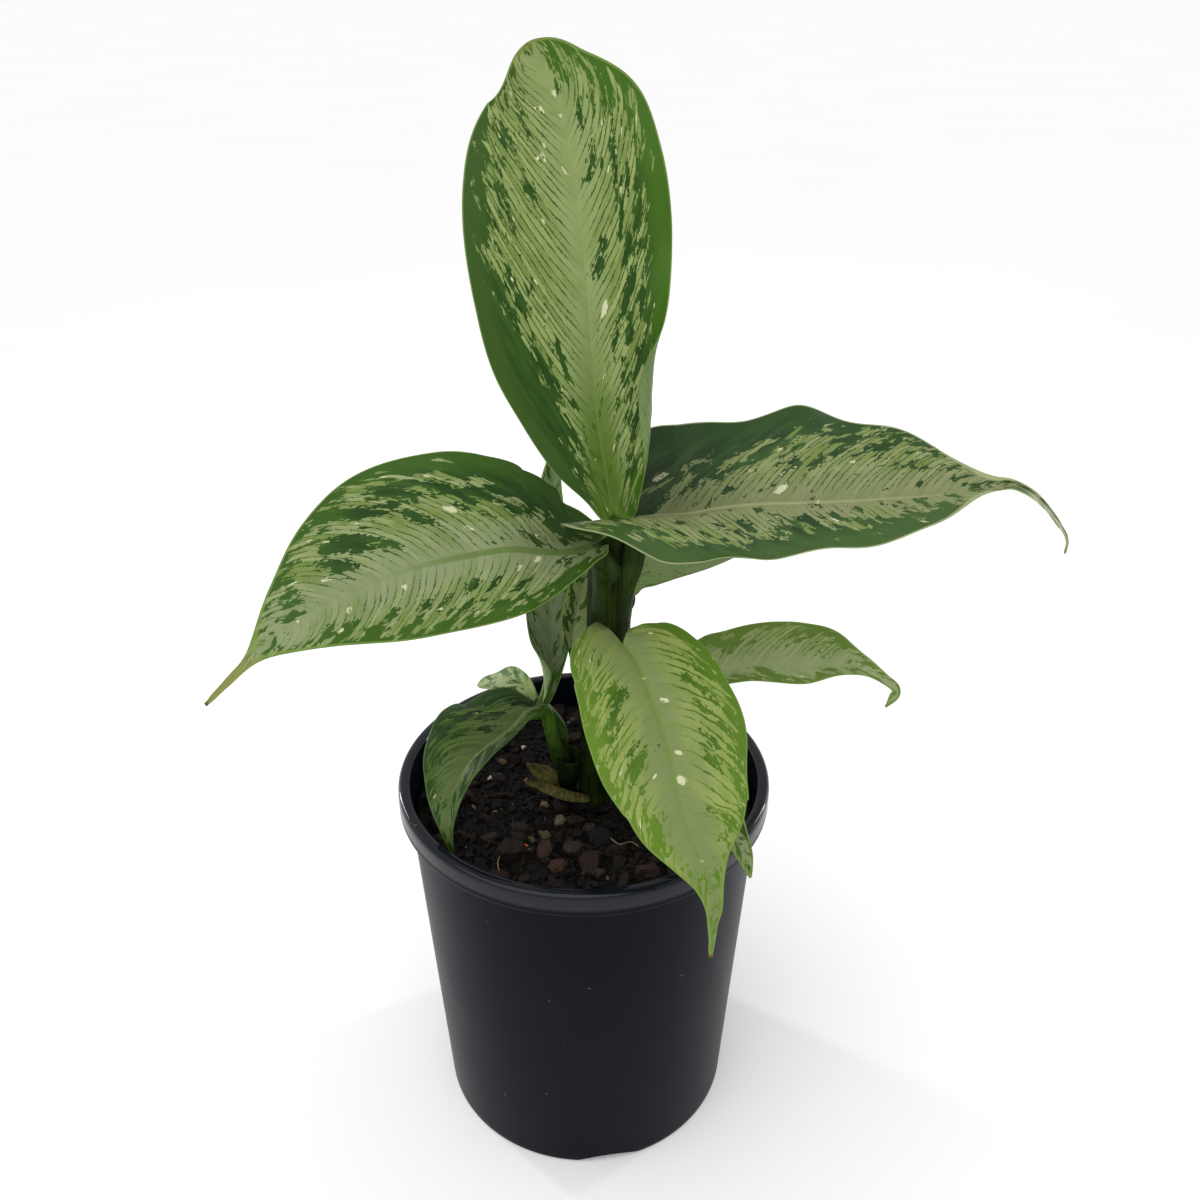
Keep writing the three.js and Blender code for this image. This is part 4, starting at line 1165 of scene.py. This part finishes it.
def drain_cutter(turn):
    """An arch that is pushed inwards through the foot of the wall."""
    half_width = POT["foot_radius"] * math.sin(math.radians(DRAIN["arc"] / 2)) + 1
    u = np.linspace(0, 1, DRAIN["steps"])
    x = (u * 2 - 1) * half_width
    z = -(1 - u) ** 2 + 2 * u * (1 - u) * (2 * DRAIN["height"] + 1) - u ** 2
    arch = np.concatenate([np.stack([x, z], -1), [[half_width, -2], [-half_width, -2]]])
    ends = [-(POT["foot_radius"] + 1), DRAIN["depth"] - POT["foot_radius"]]
    rings = np.array([[(px, y, pz) for px, pz in arch] for y in ends])
    c, s = math.cos(math.radians(turn)), math.sin(math.radians(turn))
    rings = np.stack([rings[..., 0] * c - rings[..., 1] * s, rings[..., 0] * s + rings[..., 1] * c,
                      rings[..., 2]], -1)
    points, faces = rings_skin(rings)
    return make_mesh("cutter", points, faces, smooth_faces=False)


def finished_mesh(thing):
    """Applies the modifiers of an object by keeping what they make as its mesh."""
    evaluated = thing.evaluated_get(bpy.context.evaluated_depsgraph_get())
    mesh = bpy.data.meshes.new_from_object(evaluated)
    thing.modifiers.clear()
    thing.data = mesh
    return thing


def make_pot():
    points, faces = turned(pot_outline(), POT_TURNS)
    pot = make_mesh("nursery_pot", points, faces)
    cutters = [drain_cutter(DRAIN["turn"] + 360 / DRAIN["count"] * i) for i in range(DRAIN["count"])]
    for cutter in cutters:
        cut = pot.modifiers.new("drain", "BOOLEAN")
        cut.operation = "DIFFERENCE"
        cut.object = cutter
    finished_mesh(pot)
    for cutter in cutters:
        bpy.data.objects.remove(cutter)
    pot.data.set_sharp_from_angle(angle=math.radians(SHARP_ANGLE))
    return pot


pot_piece = make_pot()
print("pot:", len(pot_piece.data.polygons), "faces")

# %% Black plastic
LIP_COAT_HEIGHTS = (0.1425, 0.1445)


def pot_finish():
    """Black plastic with faint clouds, fine grain and dust, and a clear coat on the lip."""
    finish = Finish("pot_plastic")
    place = finish.place()
    z = finish.parts(place)[2]
    cloud = finish.noise(place, 22, 4)
    grain = finish.noise(place, 900, 2)
    dust = finish.cells(place, "Distance", scale=420, flat=False)
    pick = finish.parts(finish.also(dust, "Color"))[0].rise(0.985, 0.99)
    speck = dust.rise(0.24, 0.12) * pick
    film = cloud.rise(0.42, 0.75) * 0.5
    colour = finish.mix(film, paint(6, 9, 20), paint(11, 14, 27))
    colour = finish.mix(speck * 0.5, colour, paint(120, 124, 130))
    lip = z.rise(*LIP_COAT_HEIGHTS)
    roughness = 0.3 + cloud * 0.14 + speck * 0.3
    coat = {"Coat Weight": lip * 0.5, "Coat Roughness": 0.06}
    uneven = cloud * 0.6 + grain * 0.08
    return finish.surface(colour, roughness, (uneven, 0.0004, 0.35), IOR=1.15, **coat)


pot_piece.data.materials.append(pot_finish())
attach(pot_piece, "root")
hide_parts("pot")

# %% [markdown]
# ## The potting mix
#
# Potting mix is composted bark: dark crumbs with larger flat chips on top, a few pale grains and
# twigs. The bed is one closed body whose surface rises and falls. The chips are what repeats here,
# so Geometry Nodes scatter them: a fixed seed drops points on the bed, and each point gets one of
# seven chip shapes with its own turn, size and tint.

# %% Bed
SOIL = {"level": 136.5, "relief": 1.4, "edge": 8, "clearance": 0.3, "middle": 0.5}


def soil_height(x, y):
    fade = np.minimum(1, (inner_radius(SOIL["level"]) - np.hypot(x, y)) / SOIL["edge"])
    mounds = np.sin(x / 9 + 1) * np.cos(y / 11) + 0.6 * np.sin((x + y) / 5)
    return SOIL["level"] + SOIL["relief"] * fade * mounds


def make_bed(turns=200, circles=72):
    """The bed: out over its bottom, up along the wall, and in over the top, which has lumps."""
    gap, middle = SOIL["clearance"], SOIL["middle"]
    bottom = POT["base"] + gap
    rim = inner_radius(SOIL["level"]) - gap
    radii = np.concatenate([[middle, inner_radius(bottom) - gap], np.linspace(rim, middle, circles)])
    angle = 2 * np.pi * np.arange(turns) / turns
    x, y = radii[:, None] * np.cos(angle), radii[:, None] * np.sin(angle)
    z = soil_height(x, y)
    inside = (radii < rim - 1)[:, None]
    lumps = 0.7 * np.sin(x * 0.9 + 1.4 * np.sin(y * 0.7)) * np.sin(y * 1.1 + 1.2 * np.sin(x * 0.6))
    lumps = lumps + 0.35 * np.sin(x * 1.9 + np.sin(y)) * np.sin(y * 2.3 + np.sin(x * 1.3))
    z = np.where(inside, z + lumps, z)
    z[:2] = bottom
    points, faces = rings_skin(np.stack([x, y, z], -1))
    return make_mesh("potting_mix", points, faces)


bed_piece = make_bed()
print("bed:", len(bed_piece.data.polygons), "faces")

# %% Chip shapes
CHIP_SHAPES = [(0.75, 0.55), (0.6, 0.4), (0.9, 0.34), (0.5, 0.24), (0.7, 0.16), (0.4, 0.12),
               (0.12, 0.1)]
CHIP_RINGS = ((-0.5, 0.8), (-0.2, 1.0), (0.38, 0.92), (0.5, 0.66))


def chip_shape(number, slim, thick, draw):
    """A chunk, flake or splinter of bark of about one unit, with an uneven outline."""
    corners = draw.randint(5, 7)
    outline = [draw.uniform(0.62, 1.1) for _ in range(corners)]
    tilt = draw.uniform(-0.5, 0.5)
    rings = []
    for height, share in CHIP_RINGS:
        ring = []
        for k in range(corners):
            turn = 2 * math.pi * (k + draw.uniform(-0.12, 0.12)) / corners
            far = 0.5 * share * outline[k] * draw.uniform(0.9, 1.05)
            rise = height + tilt * outline[k] * math.cos(turn) * height + draw.uniform(-0.12, 0.12)
            ring.append((far * math.cos(turn), far * slim * math.sin(turn), thick * rise))
        rings.append(ring)
    points, faces = rings_skin(np.array(rings))
    return make_mesh(f"chip_shape_{number}", points / MM, faces, smooth_faces=False)


shape_draw = random.Random(5)
chip_box = bpy.data.collections.new("chip_shapes")
for number, (slim, thick) in enumerate(CHIP_SHAPES):
    shape = chip_shape(number, slim, thick, shape_draw)
    bpy.context.scene.collection.objects.unlink(shape)
    chip_box.objects.link(shape)


# %% Scatter tree
SCATTER_INPUTS = {"Chips": "Collection", "Density": "Float", "Closest": "Float", "Smallest": "Float",
                  "Largest": "Float", "Seed": "Int", "Finish": "Material"}
CHIP_LEAN = 0.45
FULL_TURN = 6.283
SIZE_POWER = 2.2
TINT_SEED = 3


def scatter_tree(name):
    """Nodes that drop chips on a surface, most of them small and a few large."""
    tree = bpy.data.node_groups.new(name, "GeometryNodeTree")
    face = tree.interface
    face.new_socket("Geometry", in_out="INPUT", socket_type="NodeSocketGeometry")
    for label, kind in SCATTER_INPUTS.items():
        face.new_socket(label, in_out="INPUT", socket_type="NodeSocket" + kind)
    face.new_socket("Geometry", in_out="OUTPUT", socket_type="NodeSocketGeometry")
    given = tree.nodes.new("NodeGroupInput").outputs
    result = tree.nodes.new("NodeGroupOutput")

    def add(kind, values, settings=None):
        """Adds a node and gives back its outputs."""
        node = tree.nodes.new(kind)
        for key, value in (settings or {}).items():
            setattr(node, key, value)
        for key, value in values.items():
            if isinstance(value, bpy.types.NodeSocket):
                tree.links.new(value, node.inputs[key])
            else:
                node.inputs[key].default_value = value
        return node.outputs

    points = add("GeometryNodeDistributePointsOnFaces",
                 {"Mesh": given["Geometry"], "Distance Min": given["Closest"],
                  "Density Max": given["Density"], "Seed": given["Seed"]},
                 {"distribute_method": "POISSON"})
    shapes = add("GeometryNodeCollectionInfo",
                 {"Collection": given["Chips"], "Separate Children": True, "Reset Children": True})
    lean = add("FunctionNodeRandomValue",
               {"Min": (-CHIP_LEAN, -CHIP_LEAN, 0), "Max": (CHIP_LEAN, CHIP_LEAN, FULL_TURN),
                "Seed": given["Seed"]},
               {"data_type": "FLOAT_VECTOR"})
    turn = add("FunctionNodeRotateRotation",
               {"Rotation": points["Rotation"], "Rotate By": lean["Value"]},
               {"rotation_space": "LOCAL"})
    even = add("FunctionNodeRandomValue", {"Seed": given["Seed"]})
    skew = add("ShaderNodeMath", {0: even["Value"], 1: SIZE_POWER}, {"operation": "POWER"})
    size = add("ShaderNodeMapRange",
               {"Value": skew[0], "To Min": given["Smallest"], "To Max": given["Largest"]})
    placed = add("GeometryNodeInstanceOnPoints",
                 {"Points": points["Points"], "Instance": shapes["Instances"], "Pick Instance": True,
                  "Rotation": turn["Rotation"], "Scale": size["Result"]})
    tint = add("FunctionNodeRandomValue", {"Seed": TINT_SEED})
    tinted = add("GeometryNodeStoreNamedAttribute",
                 {"Geometry": placed["Instances"], "Name": "tint", "Value": tint["Value"]},
                 {"domain": "INSTANCE"})
    real = add("GeometryNodeRealizeInstances", {"Geometry": tinted["Geometry"]})
    done = add("GeometryNodeSetMaterial", {"Geometry": real["Geometry"], "Material": given["Finish"]})
    tree.links.new(done["Geometry"], result.inputs["Geometry"])
    return tree


def scatter(name, ground, tree, inputs):
    """A plain mesh of what the tree scatters over a copy of the ground."""
    piece = bpy.data.objects.new(name, ground.data.copy())
    bpy.context.scene.collection.objects.link(piece)
    modifier = piece.modifiers.new("scatter", "NODES")
    modifier.node_group = tree
    for item in tree.interface.items_tree:
        if item.in_out == "INPUT" and item.name in inputs:
            modifier[item.identifier] = inputs[item.name]
    return finished_mesh(piece)


GROUND_REACH = 60
GROUND_STEPS = 60
GROUND_LIFT = 0.3


def make_ground(reach):
    """The top of the bed out to a radius, as a bare surface to scatter on."""
    steps = np.linspace(-reach, reach, GROUND_STEPS)
    x, y = np.meshgrid(steps, steps)
    inside = np.hypot(x, y) < reach
    points = np.stack([x, y, soil_height(x, y) + GROUND_LIFT], -1).reshape(-1, 3)
    index = np.arange(x.size).reshape(x.shape)
    quads = grid_quads(index)
    keep = inside.reshape(-1)[quads].all(axis=1)
    return make_mesh("ground", points, quads[keep].tolist())


# %% Bark finish
def bark_finish(name, dark, light, pale_share):
    finish = Finish(name)
    place = finish.place()
    tint = finish.attribute("tint")
    fibres = finish.noise(place, 700, 4, 0.65)
    broad = finish.noise(place, 160, 3)
    colour = finish.mix((tint * 0.55 + broad * 0.45).rise(0.3, 0.8), paint(*dark), paint(*light))
    colour = finish.mix(fibres.rise(0.45, 0.75) * 0.6, colour, paint(14, 9, 7))
    chosen = tint.rise(1 - pale_share, 1 - pale_share * 0.9)
    colour = finish.mix(chosen * 0.7, colour, paint(132, 112, 84))
    return finish.surface(colour, 0.62 + (fibres - 0.5) * 0.3, (fibres, 0.0008, 0.9), IOR=1.25)


# These bark colours hold the dark of the bark itself and painted shade as well, for the shade that lies
# inside the pot.
bed_piece.data.materials.append(bark_finish("mix_crumb", (9, 7, 5), (20, 15, 12), 0.001))
chip_material = bark_finish("bark_chip", (11, 7, 6), (42, 28, 23), 0.0)
crumb_material = bark_finish("bark_crumb", (8, 6, 5), (30, 22, 18), 0.015)

# %% Pale grains and fine roots
GRAINS = [
    ((-25, 29), 2.6, (206, 188, 160)),
    ((-37, 10), 2.8, (196, 186, 176)),
    ((-33, 22), 4.5, (98, 78, 54)),
    ((-9, -16), 6, (104, 96, 78)),
    ((-14, -23), 5.5, (84, 76, 50)),
    ((-19, -27), 4, (80, 70, 46)),
    ((-21, -32), 2.4, (196, 92, 30)),
    ((-14, -32), 10, (58, 38, 31)),
    ((-3, -30), 10, (50, 42, 38)),
    ((-9, -42), 9, (62, 38, 31)),
    ((2, -20), 8, (46, 37, 32)),
    ((-24, -20), 9, (40, 29, 24)),
    ((-34, -26), 8, (48, 35, 28)),
    ((6, -42), 7, (54, 40, 32)),
    ((22, -44), 8, (52, 38, 30)),
    ((-6, 48), 5, (86, 80, 74)),
    ((-25, -34), 5, (84, 58, 44)),
    ((13, -32), 3.2, (104, 86, 60)),
    ((-29, -44), 4, (86, 68, 52)),
    ((-48, -13), 2.4, (90, 80, 64)),
]
ROOTS = [
    [(-29, -47, 139.6), (-30, -41, 140.2), (-28, -34, 139.6), (-26, -32, 140.2)],
    [(10, -28, 139.6), (13, -32, 140.2), (17, -30, 139.6), (20, -33, 140.2)],
    [(-28, -33, 139.6), (-23, -35, 140.2), (-19, -34, 139.6)],
]
ROOT_RADIUS = 0.22
ROOT_RINGS = 24
ROOT_PAINT = (132, 112, 82)
GRAIN_SIDES = 8
GRAIN_RINGS = ((-0.5, 0.5), (-0.3, 0.95), (0.1, 1.0), (0.42, 0.72))
GRAIN_WIDTH = 0.7
GRAIN_HEIGHT = 0.45
GRAIN_ROUGH = 0.05
GRAIN_LIFT = 0.9


def make_grains():
    """Single grains that stand out of the dark mix, each in its own colour, and a few bare roots."""
    draw = random.Random(8)
    parts, colours = [], []
    for (x, y), size, colour in GRAINS:
        corners, faces = grain_skin(size, draw)
        parts.append((corners + (x, y, soil_height(x, y) + GRAIN_LIFT), faces))
        colours.append(np.tile(paint(*colour)[:3], (len(corners), 1)))
    for route in ROOTS:
        points = smooth(route, np.linspace(0, 1, ROOT_RINGS))
        corners, faces = tube(points, np.full(ROOT_RINGS, ROOT_RADIUS), 6)
        parts.append((corners, faces))
        colours.append(np.tile(paint(*ROOT_PAINT)[:3], (len(corners), 1)))
    piece = make_mesh("pale_grains", *joined(parts), smooth_faces=False)
    give_points(piece, own_colour=np.concatenate(colours))
    piece.data.materials.append(grain_finish())
    return piece


def grain_skin(size, draw):
    """A broken chunk with an uneven outline, turned by chance."""
    angle = 2 * np.pi * np.arange(GRAIN_SIDES) / GRAIN_SIDES
    outline = np.array([draw.uniform(0.55, 1.2) for _ in angle])
    turn, lean = draw.uniform(0, 2 * np.pi), draw.uniform(-0.35, 0.35)
    c, s = math.cos(turn), math.sin(turn)
    rings = []
    for height, share in GRAIN_RINGS:
        far = size / 2 * share * outline * [draw.uniform(0.85, 1.1) for _ in angle]
        x, y = far * np.cos(angle), GRAIN_WIDTH * far * np.sin(angle)
        rough = size * GRAIN_ROUGH * np.array([draw.uniform(-1, 1) for _ in angle])
        z = height * size * GRAIN_HEIGHT + lean * x + rough
        rings.append(np.stack([x * c - y * s, x * s + y * c, z], -1))
    return rings_skin(np.array(rings))


def grain_finish():
    finish = Finish("pale_grain")
    own = finish.attribute("own_colour", "Color")
    pits = finish.noise(finish.place(), 1500, 3)
    colour = finish.mix(pits.rise(0.45, 0.7) * 0.6, own, paint(24, 18, 14))
    return finish.surface(colour, 0.7 + (pits - 0.5) * 0.2, (pits, 0.0006, 0.8), IOR=1.3)


ground_piece = make_ground(GROUND_REACH)
chip_tree = scatter_tree("chip_scatter")
SCATTERS = {
    "bark_chips": {"Density": 20000.0, "Closest": 0.0066, "Smallest": 0.007, "Largest": 0.016,
                   "Seed": 4, "Finish": chip_material},
    "bark_bits": {"Density": 200000.0, "Closest": 0.0027, "Smallest": 0.0026, "Largest": 0.0075,
                  "Seed": 9, "Finish": crumb_material},
    "bark_grit": {"Density": 400000.0, "Closest": 0.0021, "Smallest": 0.0012, "Largest": 0.0028,
                  "Seed": 12, "Finish": crumb_material},
}
soil_pieces = [bed_piece, make_grains()]
for name, inputs in SCATTERS.items():
    piece = scatter(name, ground_piece, chip_tree, {**inputs, "Chips": chip_box})
    soil_pieces.append(piece)
    print(name, len(piece.data.polygons), "faces")
bpy.data.objects.remove(ground_piece)
for shape in list(chip_box.objects):
    bpy.data.objects.remove(shape)
for piece in soil_pieces:
    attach(piece, "root")
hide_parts("soil")

# %% [markdown]
# ## The stems
#
# The main stem is thick, upright and wrapped in the sheaths of old leaf stalks. The side shoot is a
# slim one at its left, clasped by the cut stump of a lost stalk.

# %% Stems
MAIN_STEM = {
    "path": [(5.5, 0, 100), (5.5, 0, 130), (5.8, 0, 150), (6.8, 0, 180), (9, 0, 210), (9.8, 0, 235),
             (10.3, 0, 249)],
    "radii": [7.5, 7.5, 7.5, 7.2, 7, 7, 5.5], "rings": 70, "sides": 40,
}
SHEATH = {"from": 0.42, "to": 0.84, "thickness": 0.8, "slant": 5, "rings": 40, "sides": 48,
          "foot": 0.05, "bend": 6}
STEM_HALF = 7
SIDE_SHOOT = {"path": [(-6, 2, 118), (-6, 2, 137), (-8, 2, 153), (-9.8, 2.4, 162)],
              "radii": [3.2, 3.2, 3.3, 3], "rings": 40, "sides": 28}
COLLAR = {"foot": (-6.2, 1.2, 143), "mouth": (-5.4, 0, 156.5), "foot_radius": 3.6,
          "mouth_radius": 5.6, "wall": 0.9, "depth": 0.65, "sides": 32}
BUD = {"centre": (15.9, -1, 224), "width": 2.6, "height": 4.6, "rings": 16, "sides": 20}


def stem_skin(facts):
    u = np.linspace(0, 1, facts["rings"])
    return tube(smooth(facts["path"], u), smooth(facts["radii"], u), facts["sides"])


def sheath_skin():
    """A sheath that grows out of the main stem. Its mouth slants down at the back."""
    u = np.linspace(SHEATH["from"], SHEATH["to"], SHEATH["rings"])
    grown = SHEATH["thickness"] * np.clip((u - u[0]) / SHEATH["foot"], 0, 1)
    radii = smooth(MAIN_STEM["radii"], u) + grown
    corners, faces = tube(smooth(MAIN_STEM["path"], u), radii, SHEATH["sides"])
    share = np.repeat(np.linspace(0, 1, SHEATH["rings"]) ** SHEATH["bend"], SHEATH["sides"])
    back = corners[:len(share), 1] / STEM_HALF
    corners[:len(share), 2] -= SHEATH["slant"] * back * share
    return corners, faces


def bud_skin():
    """A small egg-shaped bud. Its ends are blunt by a tenth of its width."""
    along = np.linspace(-1, 1, BUD["rings"])
    points = np.array(BUD["centre"], float) + np.outer(along, (0, 0, BUD["height"]))
    radii = BUD["width"] * np.sqrt(np.maximum(1 - along ** 2, 0.01))
    return tube(points, radii, BUD["sides"])


def collar_skin():
    """The stump of a cut stalk: up the outside, over the rim and down the inside."""
    foot, mouth = np.array(COLLAR["foot"], float), np.array(COLLAR["mouth"], float)
    axis = mouth - foot
    wide, narrow, wall = COLLAR["mouth_radius"], COLLAR["foot_radius"], COLLAR["wall"]
    outside = [(0, narrow), (0.5, 4.5), (0.95, wide), (1.0, wide - 0.25)]
    inside = [(0.99, wide - wall), (0.6, 4.0), (1 - COLLAR["depth"], narrow - wall / 2)]
    right, above = frames(np.array([foot, mouth]))
    angle = -2 * np.pi * np.arange(COLLAR["sides"]) / COLLAR["sides"]
    circle = np.outer(np.cos(angle), right[0]) + np.outer(np.sin(angle), above[0])
    rings = [foot + axis * along + radius * circle for along, radius in outside + inside]
    return rings_skin(np.array(rings))


def make_stems():
    main = make_mesh("main_stem_bark", *joined([stem_skin(MAIN_STEM), sheath_skin(), bud_skin()]))
    side = make_mesh("side_shoot_bark", *joined([stem_skin(SIDE_SHOOT), collar_skin()]))
    return {"main_stem": main, "side_shoot": side}


stem_material = stalk_finish("stem_skin", (40, 52, 18), (17, 27, 8), 0.0, 1.1)
for name, piece in make_stems().items():
    piece.data.materials.append(stem_material)
    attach(piece, "root")
    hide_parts(name)

# %% [markdown]
# ## The dry bracts
#
# Two bracts at the foot of the side shoot have dried to thin husks. Each is a small stiff blade,
# made by the rule of the leaves, with fine folds and no stalk.

# %% Bracts
BRACTS = {
    "bract_upper": {
        "rib": [(-7, 1, 139.5), (-11, 1, 143.5), (-16, 2, 147), (-22, 3, 150)],
        "face": [(-0.2, -1, 0.6), (-0.2, -1, 0.9)],
        "left": {"width": [3, 5.5, 4.6, 2, 0], "lift": [25, 10], "curl": [30, 0]},
        "right": {"width": [3, 4.5, 3.6, 1.6, 0], "lift": [25, 10], "curl": [30, 0]},
    },
    "bract_lower": {
        "rib": [(2.5, -6.6, 141), (-6, -6.5, 143), (-14, -5, 145), (-22, -4, 147)],
        "face": [(0.1, -1, 0.5), (-0.1, -1, 0.8)],
        "left": {"width": [0.8, 2.2, 2.7, 1.5, 0], "lift": [20, 10], "curl": [-30, 0]},
        "right": {"width": [0.6, 1.3, 1.6, 1, 0], "lift": [20, 10], "curl": [30, 0]},
    },
}
BRACT_ROWS = 36
BRACT_COLUMNS = 10
BRACT_SHEET = 0.5
BRACT_FOLDS = {"depth": 0.18, "across": 2.1, "up": 3.3}


def make_bract(name, facts):
    """A dry bract is a small stiff blade with fine folds."""
    leaf = Leaf(name, facts["rib"], facts["face"], facts["left"], facts["right"])
    start = np.linspace(0, 1, BRACT_ROWS)[:, None]
    steps = column_steps(BRACT_COLUMNS)
    left = leaf.half(-1, start, steps[::-1][:-1][None, :])[0]
    right = leaf.half(1, start, steps[None, :])[0]
    grid = np.concatenate([left, right], axis=1)
    normal = grid_normals(grid)
    across, up = BRACT_FOLDS["across"], BRACT_FOLDS["up"]
    folds = BRACT_FOLDS["depth"] * np.sin(grid[..., 0] * across + grid[..., 2] * up)[..., None]
    grid = grid + normal * folds
    points, faces, _ = closed_skin(grid + normal * BRACT_SHEET / 2, grid - normal * BRACT_SHEET / 2)
    return make_mesh(name + "_husk", points, faces)


bract_material = stalk_finish("dry_bract", (112, 106, 58), (62, 58, 28), 0.0, 1.2)
for name, facts in BRACTS.items():
    piece = make_bract(name, facts)
    piece.data.materials.append(bract_material)
    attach(piece, "root")
    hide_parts(name)

# %% [markdown]
# ## The floor and the end
#
# A pale floor catches a soft shadow. It is there for the picture only and isn't part of the plant.

# %% Floor
FLOOR_SIDE = 40.0
FLOOR_GLOW = 0.07


def make_floor():
    half = FLOOR_SIDE / 2 / MM
    corners = [(-half, -half, 0), (half, -half, 0), (half, half, 0), (-half, half, 0)]
    floor = make_mesh("floor", corners, [[0, 1, 2, 3]])
    finish = Finish("pale_floor")
    mottle = finish.noise(finish.place(), 3.0, 2)
    colour = finish.mix(mottle, paint(243, 243, 243), paint(247, 247, 247))
    glow = {"Emission Color": (1, 1, 1, 1), "Emission Strength": FLOOR_GLOW}
    floor.data.materials.append(finish.surface(colour, 0.9, **glow))


make_floor()
